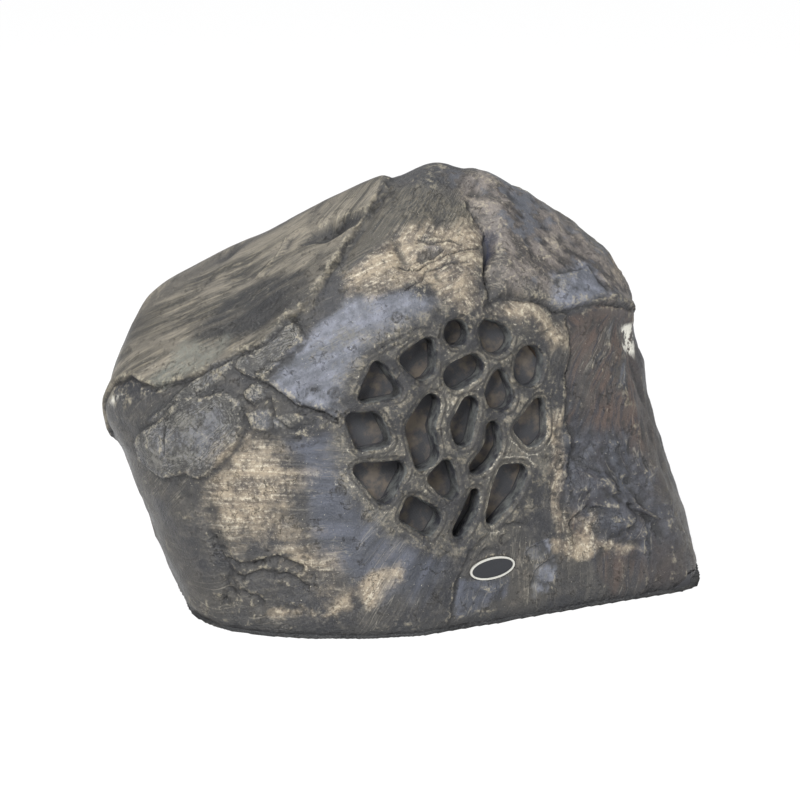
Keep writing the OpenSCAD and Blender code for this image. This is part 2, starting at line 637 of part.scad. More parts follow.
board_pos = [28, 62];
board_t = 1.6;
board_z = plate_top + post_h;
module at_board_posts() {
    for (x = [-1, 1]) for (y = [-1, 1])
        translate([board_pos.x + x * (board_l / 2 - 5), board_pos.y + y * (board_w / 2 - 5), 0]) children();
}

module base_plate() {
    rib_l = 250;
    rib_t = 3;
    rib_h = 6;
    color("#242426") difference() {
        union() {
            translate([0, 0, base_recess]) linear_extrude(base_t) polygon(inset(FOOT, wall + slip + 0.1));
            at_board_posts() translate([0, 0, plate_top]) cylinder(r = 4, h = post_h, $fn = 32);
            for (y = [-48, -12]) translate([-120, y, plate_top]) cube([rib_l, rib_t, rib_h]);
        }
        at_base_screws() translate([0, 0, base_recess - over]) {
            cylinder(r = base_screw_r + slip, h = base_t + 2 * over, $fn = 24);
            cylinder(r = base_head_r + slip, h = base_head_sink + over, $fn = 24);
        }
        at_board_posts() translate([0, 0, plate_top + 1]) cylinder(r = 1.2, h = post_h, $fn = 16);
    }
}

module base_gasket() {
    color("#1b1b1c") difference() {
        translate([0, 0, plate_top]) linear_extrude(gasket_t) difference() {
            polygon(inset(FOOT, wall + 2 * slip));
            polygon(inset(FOOT, wall + ledge_w - 1));
        }
        at_base_screws() translate([0, 0, plate_top - over])
            cylinder(r = base_screw_r + slip, h = gasket_t + 2 * over, $fn = 24);
    }
}

module base_screws() {
    head_t = 1.9;
    color("#8f9296") at_base_screws() translate([0, 0, base_recess + base_head_sink]) difference() {
        pan_screw(base_screw_r - slip, base_screw_l, base_head_r, head_t);
        translate([0, 0, -head_t - over]) cylinder(r = 1.5, h = 1.2 + over, $fn = 6);
    }
}

module crossover_board() {
    color("#2f5d3a") difference() {
        translate([board_pos.x - board_l / 2, board_pos.y - board_w / 2, board_z])
            cube([board_l, board_w, board_t]);
        at_board_posts() translate([0, 0, board_z - over])
            cylinder(r = 1.7, h = board_t + 2 * over, $fn = 24);
    }
}

module board_screws() {
    color("#8f9296") at_board_posts() translate([0, 0, board_z + board_t]) mirror([0, 0, 1])
        pan_screw(1.1, 7, 2.8, 1.8);
}

// Coil wound on a flanged bobbin that stands on the board
module inductor(r, h) {
    hole_r = 4;
    flange = 2;
    wire_r = r - 1.5;
    rotate_extrude($fn = 64) polygon([[hole_r, 0], [r, 0], [r, flange], [wire_r, flange],
        [wire_r, h - flange], [r, h - flange], [r, h], [hole_r, h]]);
}

bass_coil_r = 20;
bass_coil_h = 24;
module bass_inductor() {
    color("#a8653a") translate([board_pos.x - board_l / 2 + bass_coil_r + 3,
        board_pos.y + board_w / 2 - bass_coil_r - 8, board_z + board_t]) inductor(bass_coil_r, bass_coil_h);
}

treble_coil_r = 14;
treble_coil_h = 18;
module treble_inductor() {
    color("#a8653a") translate([board_pos.x + 6, board_pos.y + board_w / 2 - treble_coil_r - 4,
        board_z + board_t]) inductor(treble_coil_r, treble_coil_h);
}

module capacitors() {
    can_r = 7;
    color("#b7b2a0") for (y = [-12, 14])
        translate([board_pos.x + 24, board_pos.y + y, board_z + board_t + can_r + 0.2])
            rotate([0, 90, 0]) cylinder(r = can_r, h = 30, $fn = 48);
}

module resistor() {
    color("#d8d2c4") translate([board_pos.x - 6, board_pos.y - 22, board_z + board_t]) cube([22, 9, 9]);
}

module terminal_block() {
    color("#2d6a4a") translate([board_pos.x - 44, board_pos.y - 30, board_z + board_t]) difference() {
        cube([30, 10, 12]);
        for (i = [0:3]) translate([4 + 7.3 * i, 0, 0]) {
            translate([0, -over, 4]) rotate([-90, 0, 0]) cylinder(r = 1.8, h = 7, $fn = 16);
            translate([0, 5, 9]) cylinder(r = 2.2, h = 4, $fn = 16);
        }
    }
}

// Cable gland, from the outside in: cap, body flange, washer, wall, locknut
washer_t = 1.5;
flange_hex_t = 5;
nut_t = 5;
dome_l = 14;
collar_r = barrel_r + 0.6;
// Way through the gland, and the rubber grommet that grips the cable in it
cable_way_r = cable_r + 0.6;
grommet_r = cable_r + 2.3;
grommet_l = 12;
grommet_sink = 2;
module gland_body() {
    // Barrel behind the flange, through washer, wall and locknut
    tail = washer_t + gland_wall + nut_t + 2;
    color("#1d1d1f") on_gland(washer_t) difference() {
        union() {
            cylinder(r = 12, h = flange_hex_t, $fn = 6);
            translate([0, 0, -tail]) cylinder(r = barrel_r, h = tail + over / 2, $fn = 64);
            cylinder(r = collar_r, h = flange_hex_t + 8, $fn = 64);
        }
        translate([0, 0, -tail - over]) cylinder(r = cable_way_r, h = 60, $fn = 64);
        translate([0, 0, flange_hex_t - grommet_sink])
            cylinder(r = grommet_r + snug, h = grommet_l, $fn = 64);
    }
}

module gland_cap() {
    color("#1d1d1f") on_gland(washer_t + flange_hex_t + slip) difference() {
        union() {
            cylinder(r = 11.5, h = dome_l - 5, $fn = 6);
            rotate_extrude($fn = 64) polygon([[0, 0], [9.9, 0], [9.9, dome_l - 5], [8.5, dome_l - 1],
                [7, dome_l], [0, dome_l]]);
        }
        translate([0, 0, -over]) cylinder(r = collar_r + snug, h = over + 8.4, $fn = 64);
        translate([0, 0, -over]) cylinder(r = cable_way_r, h = dome_l + 2 * over, $fn = 64);
        translate([0, 0, 8.3]) cylinder(r = grommet_r + snug, h = 1.8, $fn = 64);
    }
}

module gland_grommet() {
    color("#111113") on_gland(washer_t + flange_hex_t - grommet_sink) difference() {
        cylinder(r = grommet_r, h = grommet_l, $fn = 64);
        translate([0, 0, -over]) cylinder(r = cable_r, h = grommet_l + 2 * over, $fn = 64);
    }
}

module gland_washer() {
    color("#111113") on_gland() difference() {
        cylinder(r = 12, h = washer_t, $fn = 64);
        translate([0, 0, -over]) cylinder(r = barrel_r + snug, h = washer_t + 2 * over, $fn = 64);
    }
}

module gland_locknut() {
    color("#1d1d1f") on_gland(-gland_wall - nut_t) difference() {
        cylinder(r = 12, h = nut_t, $fn = 6);
        translate([0, 0, -over]) cylinder(r = barrel_r + snug, h = nut_t + 2 * over, $fn = 64);
    }
}

rock_shell();
grille_cloth();
spacer_ring();
badge();
driver_gasket();
basket();
surround();
cone();
spider();
voice_coil_former();
voice_coil();
top_plate();
magnet();
pole_plate();
tweeter_post();
post_nut();
tweeter_housing();
tweeter_faceplate();
tweeter_dome();
terminal_strip();
driver_screws();
base_plate();
base_gasket();
base_screws();
crossover_board();
board_screws();
bass_inductor();
treble_inductor();
capacitors();
resistor();
terminal_block();
gland_body();
gland_cap();
gland_grommet();
gland_washer();
gland_locknut();
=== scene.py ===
"""Looks for a garden speaker moulded and painted as a weathered boulder.

The rock shell is replaced by a finely carved copy of itself, painted as the real one is:
a charcoal ground, washes of blue-grey, olive and brown, and tan dry brushing on top.
"""
import math

import bpy
import numpy as np
from bpy.props import FloatProperty, IntProperty, PointerProperty
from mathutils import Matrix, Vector, kdtree
from mathutils.bvhtree import BVHTree


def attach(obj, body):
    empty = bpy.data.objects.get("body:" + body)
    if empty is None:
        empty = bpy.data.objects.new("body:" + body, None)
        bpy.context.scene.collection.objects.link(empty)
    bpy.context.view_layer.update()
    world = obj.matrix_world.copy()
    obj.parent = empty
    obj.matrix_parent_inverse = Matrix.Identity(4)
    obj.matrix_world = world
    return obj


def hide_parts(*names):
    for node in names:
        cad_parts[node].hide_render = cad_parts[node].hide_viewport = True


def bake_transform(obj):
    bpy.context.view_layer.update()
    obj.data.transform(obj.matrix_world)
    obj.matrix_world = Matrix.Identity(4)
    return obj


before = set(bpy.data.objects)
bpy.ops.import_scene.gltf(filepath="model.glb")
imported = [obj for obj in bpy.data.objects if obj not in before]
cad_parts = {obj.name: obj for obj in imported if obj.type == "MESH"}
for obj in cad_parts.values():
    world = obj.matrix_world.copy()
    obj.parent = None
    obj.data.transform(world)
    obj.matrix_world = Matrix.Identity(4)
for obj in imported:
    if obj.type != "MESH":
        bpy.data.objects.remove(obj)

bl_info = {
    "name": "Boulder speaker looks",
    "version": (1, 0, 0),
    "blender": (4, 5, 0),
    "location": "View3D > Sidebar > Boulder",
    "description": "Carves and paints the boulder speaker and sets its stage",
    "category": "Object",
}

MM = 0.001
ROOT_BODY = "enclosure"

# Point inside the rock that its skin is measured from, in mm, as in the CAD source
CORE = np.array([-19.0, -17.0, 150.0])
MEAN_R = 195.0

# The photograph's camera: where it stands round the object, and the point it is centred on
VIEW_AZIMUTH, VIEW_ELEVATION = -30.0, 19.0
VIEW_AIM = np.array([-61.0, -105.0, 150.0])
VIEW_DISTANCE = 1650.0
VIEW_LENS = 97.7
VIEW_SHIFT = 0.0375


# ---------------------------------------------------------------- directions and the drawing map

def direction(bearing, lean):
    """Unit vector; bearing 0 is the front (-Y) and 90 the right (+X), lean is above the horizon."""
    b, h = np.radians(bearing), np.radians(lean)
    return np.stack([np.sin(b) * np.cos(h), -np.cos(b) * np.cos(h), np.sin(h) + 0 * b], -1)


MAP_OUT = direction(VIEW_AZIMUTH, VIEW_ELEVATION)
MAP_RIGHT = direction(VIEW_AZIMUTH + 90, 0.0)
MAP_UP = np.cross(MAP_OUT, MAP_RIGHT)


def map_of(points):
    """Lays the rock's skin out flat: mm right and up from the middle of the front-left side."""
    u = points - CORE
    u = u / np.linalg.norm(u, axis=1, keepdims=True)
    turn = np.arccos(np.clip(u @ MAP_OUT, -1, 1))
    scale = MEAN_R * turn / np.maximum(np.sin(turn), 1e-6)
    return np.stack([scale * (u @ MAP_RIGHT), scale * (u @ MAP_UP)], 1)


# ---------------------------------------------------------------- number helpers

def smooth(x):
    """Eases from 0 to 1 as x goes from 0 to 1."""
    t = np.clip(x, 0, 1)
    return t * t * (3 - 2 * t)


def noise(points, size, seed=0):
    """Smooth random values from -1 to 1 that change over about size mm."""
    q = points / size + 19.7 * seed
    cell = np.floor(q).astype(np.int64)
    t = smooth(q - cell)
    total = np.zeros(len(points))
    for corner in range(8):
        step = np.array([corner & 1, corner >> 1 & 1, corner >> 2 & 1])
        c = cell + step
        h = (c[:, 0] * 73856093) ^ (c[:, 1] * 19349663) ^ (c[:, 2] * 83492791)
        h = (h ^ (h >> 13)) * 1274126177 & 0x7FFFFFFF
        h = (h ^ (h >> 15)) * 461845907 & 0x7FFFFFFF
        weight = np.where(step, t, 1 - t).prod(1)
        total += weight * (h / 0x3FFFFFFF - 1)
    return total


def fractal(points, size, octaves=3, seed=0):
    """Noise with finer and finer layers, from about -1 to 1."""
    total = sum(noise(points, size / 2 ** k, seed + k) / 2 ** k for k in range(octaves))
    return total / (2 - 2 ** (1 - octaves))


def ridged(points, size, octaves=3, seed=0):
    """Sharp crests at 1 falling to 0 between them, as on folded or fractured stone."""
    total = sum((1 - np.abs(noise(points, size / 2 ** k, seed + k))) ** 2 / 2 ** k
                for k in range(octaves))
    return total / (2 - 2 ** (1 - octaves))


def segments_of(line, closed):
    """Starts and ends of a line's straight runs."""
    ends = np.asarray(line, float)
    if closed:
        ends = np.vstack([ends, ends[:1]])
    return ends[:-1], ends[1:]


def line_gap(p, line, reach, closed=False):
    """Distance from map points to a line, and which side of it they lie on (+1 is left)."""
    gap, side = np.full(len(p), 4 * reach), np.ones(len(p))
    pts = np.asarray(line, float)
    near = np.all((p > pts.min(0) - reach) & (p < pts.max(0) + reach), axis=1)
    q = p[near]
    best, left = np.full(len(q), 4 * reach), np.ones(len(q))
    for a, b in zip(*segments_of(line, closed)):
        ab, aq = b - a, q - a
        t = np.clip(aq @ ab / (ab @ ab), 0, 1)
        d = np.linalg.norm(aq - t[:, None] * ab, axis=1)
        closer = d < best
        left = np.where(closer, np.sign(ab[0] * aq[:, 1] - ab[1] * aq[:, 0]), left)
        best = np.minimum(best, d)
    gap[near], side[near] = best, left
    return gap, side


def within(p, ring):
    """True for the map points that lie inside a closed outline."""
    odd = np.zeros(len(p), bool)
    for a, b in zip(*segments_of(ring, True)):
        if a[1] == b[1]:
            continue
        spans = (a[1] > p[:, 1]) != (b[1] > p[:, 1])
        odd ^= spans & (p[:, 0] < a[0] + (b[0] - a[0]) * (p[:, 1] - a[1]) / (b[1] - a[1]))
    return odd


def patch(p, ring, edge):
    """1 inside an outline and 0 outside, with a soft edge of that width in mm."""
    gap, _ = line_gap(p, ring, 2 * edge + 1, closed=True)
    return smooth(np.where(within(p, ring), gap, -gap) / edge + 0.5)


# ---------------------------------------------------------------- what is drawn on the rock
# Every outline is in map mm: right and up from the middle of the front-left side.

# Broken layers that stand up from the face: lift, edge width and outline
PLATES = {
    "strip": (2.6, 2.5, [(-147, 31), (-120, 54), (-103, 71), (-96, 64), (-91, 49), (-103, 39),
                         (-118, 22), (-126, 6), (-138, 11), (-150, 19)]),
    "plate": (3.4, 2.5, [(-236, -50), (-222, -38), (-203, -27), (-191, -7), (-172, -9), (-161, -4),
                         (-150, -10), (-147, -18), (-145, -38), (-149, -54), (-169, -80),
                         (-179, -85), (-188, -77), (-209, -84), (-218, -81), (-238, -66)]),
    "strata": (2.0, 3.0, [(-222, -32), (-201, -14), (-192, -2), (-170, 23), (-148, 33), (-152, 19),
                          (-166, 4), (-184, -15), (-203, -29)]),
    "chip_a": (2.0, 1.8, [(-144, -4), (-138, 4), (-124, 4), (-124, -2), (-139, -16), (-145, -12)]),
    "chip_b": (2.0, 1.8, [(-142, -24), (-134, -21), (-124, -23), (-123, -41), (-129, -44),
                          (-140, -41)]),
    "chip_c": (1.6, 1.8, [(-122, -30), (-108, -26), (-87, -34), (-121, -43)]),
    "brow_chip": (-2.4, 2.0, [(32, 156), (45, 161), (62, 160), (53, 151), (37, 145), (30, 149)]),
    "cleft_hole": (-5.0, 5.0, [(105, 190), (118, 170), (118, 154), (111, 139), (109, 145),
                               (108, 169)]),
    "cheek_facet": (2.0, 4.0, [(183, 123), (221, 136), (234, 103), (210, 94), (190, 104)]),
    "bump": (2.5, 9.0, [(154, 94), (162, 102), (182, 96), (194, 80), (182, 68), (163, 73)]),
    "lump_1": (6.5, 7.0, [(214, -119), (229, -100), (244, -96), (247, -112), (239, -122),
                          (223, -132), (204, -151)]),
    "lump_2": (7.0, 7.0, [(234, -121), (249, -116), (249, -125), (240, -136), (232, -148),
                          (218, -160), (229, -138)]),
    "facet_1": (-1.6, 2.0, [(150, -181), (173, -171), (173, -179), (152, -188)]),
    "facet_2": (-1.8, 2.0, [(152, -193), (176, -181), (172, -191), (157, -201), (145, -203)]),
    "facet_3": (-1.4, 2.5, [(60, -214), (72, -199), (101, -200), (124, -200), (110, -213),
                            (69, -217)]),
    "top_dent": (-4.0, 13.0, [(-115, 189), (-103, 207), (-78, 217), (-47, 214), (-28, 208),
                             (-40, 194), (-64, 189), (-94, 191)]),
}

# The plates that show the slate's split layers
SLATE = ("plate", "strip", "strata")

# Ledges: lift on the left of the line, how far the lift runs on, groove depth, and the line
LEDGES = {
    "slab": (2.6, 22, 3.0, [(-297, -44), (-260, 5), (-237, 10), (-215, 0), (-194, 6), (-159, 25),
                            (-123, 46), (-100, 74)]),
    "slab_top": (1.4, 34, 0.7, [(-100, 74), (-87, 89), (-73, 112), (-57, 148), (-51, 168),
                                (-26, 211), (-17, 233)]),
    "crease": (4.5, 22, 3.0, [(-124, 4), (-116, -5), (-100, -20), (-74, -28), (-54, -43)]),
    "cheek": (3.0, 20, 2.6, [(119, 104), (133, 109), (147, 109), (174, 100), (194, 90), (213, 93),
                             (274, 93)]),
    "cleft": (-3.5, 12, 3.0, [(90, 207), (105, 190), (112, 168), (109, 139), (117, 117),
                              (119, 104)]),
    "side": (-3.0, 14, 1.6, [(208, 84), (218, 72), (229, 49), (226, -14), (234, -76), (219, -110),
                             (202, -158)]),
    "flank": (-3.0, 12, 1.5, [(-165, -141), (-155, -156), (-148, -168), (-145, -182)]),
    "panel": (1.6, 20, 1.2, [(61, -213), (73, -197), (90, -183), (105, -174), (135, -163),
                             (150, -160)]),
    "top_fold": (1.8, 12, 1.2, [(-124, 222), (-146, 205), (-148, 172), (-162, 148)]),
}

# Cracks and scratches: depth, half width and line
CRACKS = {
    "plate": (1.6, 1.2, [(-200, -34), (-201, -43), (-200, -59)]),
    "chips": (2.0, 1.5, [(-147, -8), (-139, -18), (-124, -10), (-121, -30), (-108, -46),
                         (-84, -38)]),
    "brow_1": (1.8, 1.2, [(9, 138), (30, 137), (45, 145), (67, 154), (103, 161)]),
    "brow_2": (1.8, 1.2, [(18, 111), (37, 123), (42, 136), (71, 145), (91, 143)]),
    "brow_3": (1.4, 1.2, [(32, 169), (45, 164), (64, 170), (82, 163)]),
    "carve_1": (3.4, 2.0, [(-150, -157), (-129, -163), (-104, -163), (-85, -174)]),
    "carve_2": (3.0, 2.0, [(-137, -171), (-118, -169), (-93, -178), (-78, -187)]),
    "carve_3": (2.6, 2.0, [(-142, -179), (-128, -181), (-111, -189)]),
    "hatch_1": (1.4, 1.2, [(-26, 37), (3, 57), (39, 75), (60, 75)]),
    "hatch_2": (1.2, 1.0, [(-20, 36), (7, 50), (37, 67)]),
    "pit": (2.2, 2.4, [(-101, -55), (-99, -55)]),
}

# Folds that fan out from one point, like crumpled cloth
FAN = (253, -121)
FAN_TIPS = [(258, -47), (243, -80), (236, -98), (269, -86), (277, -111), (269, -127), (247, -146),
            (234, -154)]

# Regions of paint: soft edge and outline
PAINT = {
    "tan": [
        (44, [(-176, -85), (-162, -72), (-146, -44), (-133, -50), (-117, -66), (-104, -82),
              (-86, -96), (-100, -112), (-112, -126), (-96, -146), (-60, -171), (-48, -184),
              (-42, -197), (-55, -197), (-67, -188), (-80, -177), (-91, -166), (-102, -155),
              (-124, -147), (-142, -139), (-155, -129), (-172, -112), (-175, -97)]),
        (30, [(-56, 123), (-16, 162), (11, 181), (53, 189), (104, 183), (107, 144), (107, 116),
              (119, 100), (148, 108), (176, 92), (212, 78), (222, 58), (203, 49), (173, 73),
              (144, 88), (112, 90), (90, 88), (72, 99), (59, 104), (46, 112), (12, 111),
              (-13, 107), (-33, 101), (-49, 96)]),
        (14, [(208, -36), (226, -11), (224, -60), (219, -110), (202, -158), (188, -167),
             (191, -134), (206, -90)]),
        (6, [(206, -157), (225, -135), (229, -132), (219, -155), (240, -150), (240, -154),
             (220, -166), (195, -174), (175, -180), (178, -169)]),
        (7, [(-109, -193), (-96, -189), (-89, -193), (-65, -199), (-47, -194), (-32, -192),
             (-37, -203), (-62, -203), (-87, -198)]),
        (9, [(-32, -192), (-18, -183), (11, -180), (20, -191), (0, -196), (-19, -203)]),
    ],
    "blue": [
        (26, [(-124, 2), (-118, 22), (-91, 49), (-76, 74), (-49, 94), (-13, 105), (14, 109),
              (59, 104), (49, 83), (6, 62), (-23, 42), (-46, 18), (-53, -15), (-52, -38),
              (-100, -16)]),
        (4, PLATES["facet_1"][2]), (4, PLATES["facet_2"][2]), (5, PLATES["brow_chip"][2]),
        (20, [(178, 128), (224, 142), (240, 103), (210, 94), (186, 100)]),
    ],
    "deep": [
        (30, [(-108, -57), (-69, -49), (-49, -73), (-32, -127), (2, -157), (33, -172), (66, -188),
              (50, -203), (0, -201), (-33, -188), (-70, -163), (-87, -119), (-97, -89)]),
        (6, PLATES["facet_3"][2]),
    ],
    # Painted shade: a band on the slab's lower part, where it turns away from the light, and the
    # top dent
    "dark": [
        (16, [(-161, 137), (-94, 137), (-80, 97), (-125, 63), (-165, 47), (-199, 47), (-209, 54),
              (-202, 75), (-192, 107)]),
        (14, PLATES["top_dent"][2]),
    ],
    "pale": [
        (9, [(-214, 48), (-180, 43), (-166, 54), (-166, 29), (-187, 17), (-207, 0), (-218, 8),
             (-215, 26)]),
    ],
    "slate": [(4, PLATES["plate"][2]), (4, PLATES["strip"][2]), (4, PLATES["strata"][2]),
              (3, PLATES["chip_a"][2]), (3, PLATES["chip_b"][2]), (3, PLATES["chip_c"][2])],
    "brow": [
        (10, [(-56, 126), (-45, 177), (-24, 216), (-8, 245), (12, 243), (45, 225), (73, 217),
              (90, 207), (106, 185), (53, 189), (11, 181), (-16, 162), (-44, 133)]),
    ],
    "mauve": [
        (26, [(100, 200), (116, 160), (126, 118), (150, 118), (190, 110), (215, 100), (300, 100),
              (300, 190), (240, 260), (140, 270), (60, 245)]),
    ],
    "crumple": [
        (18, [(210, -60), (238, -46), (270, -50), (284, -112), (262, -140), (240, -158),
              (222, -160), (206, -138)]),
    ],
    "navy": [(5, PLATES["cleft_hole"][2])],
    "white": [
        (3, [(267, 72), (285, 81), (298, 62), (291, 45), (269, 53)]),
        (3, [(-260, -14), (-250, -2), (-244, -2), (-254, -14)]),
    ],
}
# The slab on top, left of this line, is olive-brown with long streaks
SLAB_LINE = LEDGES["slab"][3] + LEDGES["slab_top"][3][1:] + [
    (12, 240), (45, 229), (70, 226), (110, 215), (160, 190), (220, 160), (290, 120)]
SIDE_LINE = LEDGES["side"][3]


# ---------------------------------------------------------------- the rock's form

# Spacing in mm of the carved grid, and in degrees of the field that keeps the skin's radius
VOXEL = 1.5
FIELD_STEP = 1.0

# The grille's middle and outward axis, the badge's plane and the gland, in mm, as in the CAD source
GRILLE_POS = np.array([-28.696, -127.824, 150.971])
GRILLE_AXIS = np.array([-0.186978, -0.961921, 0.199368])
GRILLE_R = 97.0
BADGE_MIDDLE = np.array([-7.0, -153.3, 42.7])
BADGE_BEARING, BADGE_LEAN, BADGE_TURN = -7.0, 12.0, 4.0
BADGE_SEAT = (41.5, 20.5)
BADGE_FIELD = (34.8, 13.8)
GLAND_POS = np.array([-12.653, 164.756, 46.0])
GLAND_AXIS = np.array([0.034708, 0.993916, 0.104528])
GLAND_FLAT_R = 15.0
# Width of the skin round the openings that still counts as the grille
GRILLE_EDGE = 6
# Depths in front of the grille's plane: the back of its openings, the walls that the carved rock
# keeps, those that the lining leaves out to it, and those that are painted dark
GRILLE_BACK = -60.0
WALLS_KEPT, WALLS_LEFT, WALLS_DARK = -19.6, -19.8, -21.0
# Stands for a distance that is too long to matter
FAR = 99.0
# What ridged noise averages
CREST_MEAN = 0.62


def vertices_of(mesh):
    """A mesh's points in mm."""
    co = np.empty(len(mesh.vertices) * 3, np.float32)
    mesh.vertices.foreach_get("co", co)
    return co.reshape(-1, 3).astype(float) / MM


def triangles_of(mesh):
    """The three point numbers of every triangle of a mesh."""
    mesh.calc_loop_triangles()
    tri = np.empty(len(mesh.loop_triangles) * 3, np.int32)
    mesh.loop_triangles.foreach_get("vertices", tri)
    return tri.reshape(-1, 3)


def mesh_from(name, points, faces):
    """A mesh of triangles from points in mm."""
    mesh = bpy.data.meshes.new(name)
    mesh.vertices.add(len(points))
    mesh.vertices.foreach_set("co", (points * MM).astype(np.float32).ravel())
    mesh.loops.add(len(faces) * 3)
    mesh.loops.foreach_set("vertex_index", faces.astype(np.int32).ravel())
    mesh.polygons.add(len(faces))
    mesh.polygons.foreach_set("loop_start", np.arange(0, len(faces) * 3, 3, dtype=np.int32))
    mesh.polygons.foreach_set("loop_total", np.full(len(faces), 3, np.int32))
    mesh.update(calc_edges=True)
    mesh.validate()
    return mesh


def picked(points, faces):
    """The points that the faces use, the faces numbered to match, and which points they are."""
    used = np.unique(faces)
    index = np.full(len(points), -1)
    index[used] = np.arange(len(used))
    return points[used], index[faces], used


def object_from(name, mesh, body=ROOT_BODY):
    """A piece that rides on a body, or on none when no body is given."""
    obj = bpy.data.objects.new(name, mesh)
    bpy.context.collection.objects.link(obj)
    if body:
        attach(obj, body)
    return obj


def evaluated(obj):
    """A new mesh with what an object's modifiers make of it."""
    return bpy.data.meshes.new_from_object(
        obj.evaluated_get(bpy.context.evaluated_depsgraph_get()))


def remeshed(node, voxel):
    """An even mesh of a CAD node, with cells of voxel mm."""
    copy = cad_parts[node].copy()
    copy.data = copy.data.copy()
    bpy.context.collection.objects.link(copy)
    modifier = copy.modifiers.new("grid", "REMESH")
    modifier.mode = "VOXEL"
    modifier.voxel_size = voxel * MM
    mesh = evaluated(copy)
    points, faces = vertices_of(mesh), triangles_of(mesh)
    data = copy.data
    bpy.data.objects.remove(copy)
    bpy.data.meshes.remove(data)
    bpy.data.meshes.remove(mesh)
    return points, faces


def grille_local(points):
    """Distance from the grille's axis, depth in front of its plane, and the place in that plane."""
    d = points - GRILLE_POS
    depth = d @ GRILLE_AXIS
    flat = d - depth[:, None] * GRILLE_AXIS
    return np.linalg.norm(flat, axis=1), depth, flat


class RadiusField:
    """How far the rock's skin lies from its core in every direction, with openings bridged over."""

    def __init__(self, node, step):
        self.step = step
        self.bearings = np.arange(-180, 180, step)
        self.leans = np.arange(-90, 90 + step, step)
        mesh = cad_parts[node].data
        points = vertices_of(mesh)
        tree = BVHTree.FromPolygons([Vector(p) for p in points], triangles_of(mesh).tolist())
        reach = 400.0
        b, h = np.meshgrid(self.bearings, self.leans, indexing="ij")
        dirs = direction(b, h)
        value, facing = np.zeros(b.shape), np.ones(b.shape)
        for i in range(b.shape[0]):
            for j in range(b.shape[1]):
                u = Vector(dirs[i, j])
                _, normal, _, hit = tree.ray_cast(Vector(CORE) + reach * u, -u)
                if hit is not None:
                    value[i, j] = reach - hit
                    facing[i, j] = normal.dot(Vector(GRILLE_AXIS))
        where = CORE + dirs.reshape(-1, 3) * value.reshape(-1, 1)
        off, depth, _ = grille_local(where)
        on_walls = (off < GRILLE_R + 4) & (depth > GRILLE_BACK) & (facing.ravel() < 0.55)
        lost = (value < 60).ravel() | on_walls
        lost |= np.linalg.norm(where - GLAND_POS, axis=1) < GLAND_FLAT_R + 2
        lost |= np.linalg.norm(where - BADGE_MIDDLE, axis=1) < 12
        valid = 1.0 - lost.reshape(b.shape)
        self.value = self.filled(value, valid)

    def filled(self, value, valid):
        """Near values where they are known, and ever wider averages of them where they aren't."""
        result, done = np.zeros_like(value), np.zeros_like(value)
        for spread in (1.3, 3.0, 6.0, 12.0):
            top, weight = self.blur(value * valid, spread), self.blur(valid, spread)
            trust = smooth((weight - 0.25) / 0.35) * (1 - done)
            result += trust * top / np.maximum(weight, 1e-6)
            done += trust
        return result + (1 - done) * MEAN_R

    def blur(self, grid, spread):
        """The grid averaged over spread degrees; bearings run round, leans end at the poles."""
        reach = int(np.ceil(3 * spread / self.step))
        kernel = np.exp(-0.5 * (np.arange(-reach, reach + 1) * self.step / spread) ** 2)
        kernel /= kernel.sum()
        wrapped = np.vstack([grid[-reach:], grid, grid[:reach]])
        across = sum(k * wrapped[i:i + len(grid)] for i, k in enumerate(kernel))
        edged = np.pad(across, ((0, 0), (reach, reach)), mode="edge")
        return sum(k * edged[:, i:i + grid.shape[1]] for i, k in enumerate(kernel))

    def at(self, u):
        """The skin's radius along unit vectors."""
        b = (np.degrees(np.arctan2(u[:, 0], -u[:, 1])) + 180) / self.step
        h = (np.degrees(np.arcsin(np.clip(u[:, 2], -1, 1))) + 90) / self.step
        i, j = np.floor(b).astype(int), np.minimum(np.floor(h).astype(int), len(self.leans) - 2)
        s, t = b - i, h - j
        i0, i1 = i % len(self.bearings), (i + 1) % len(self.bearings)
        v = self.value
        return ((1 - s) * ((1 - t) * v[i0, j] + t * v[i0, j + 1])
                + s * ((1 - t) * v[i1, j] + t * v[i1, j + 1]))


def relief(points, p):
    """Height in mm that carving adds to the skin."""
    jag = np.stack([noise(points, 9.0, 3), noise(points, 9.0, 4)], 1) * 1.6
    jag += np.stack([noise(points, 3.5, 5), noise(points, 3.5, 6)], 1) * 0.7
    q = p + jag
    height = undulation(points, p)
    for lift, edge, ring in PLATES.values():
        height = height + lift * patch(q, ring, edge)
    for lift, run, groove, line in LEDGES.values():
        gap, side = line_gap(q, line, run + 4)
        fade = 1 - smooth((gap - 1.0) / run)
        height = height + lift * fade * smooth(side * gap / 1.6 + 0.5)
        height = height - groove * np.exp(-(gap / 1.7) ** 2)
    for depth, width, line in CRACKS.values():
        gap, _ = line_gap(q, line, 5 * width)
        height = height - depth * np.exp(-(gap / width) ** 2)
    return height + fan_folds(p) + slate_layers(points, q)


# Areas with relief of their own, as outlines in the drawing map
RIGHT_TOP_RING = [(112, 120), (112, 168), (90, 215), (150, 250), (240, 230), (320, 120), (274, 96),
                  (210, 96), (150, 112)]
LUMPY_RING = [(196, -60), (232, -40), (286, -40), (286, -138), (240, -160), (204, -160),
              (190, -130)]
CARVED_RING = [(-156, -148), (-128, -150), (-84, -160), (-60, -186), (-80, -200), (-128, -200),
               (-152, -184)]
# Outline, soft edge, height and size of the lumps, and seed
ROUGH_AREAS = ((RIGHT_TOP_RING, 26, 4.6, 34.0, 14), (LUMPY_RING, 24, 6.5, 27.0, 17),
               (CARVED_RING, 12, 4.5, 21.0, 23))


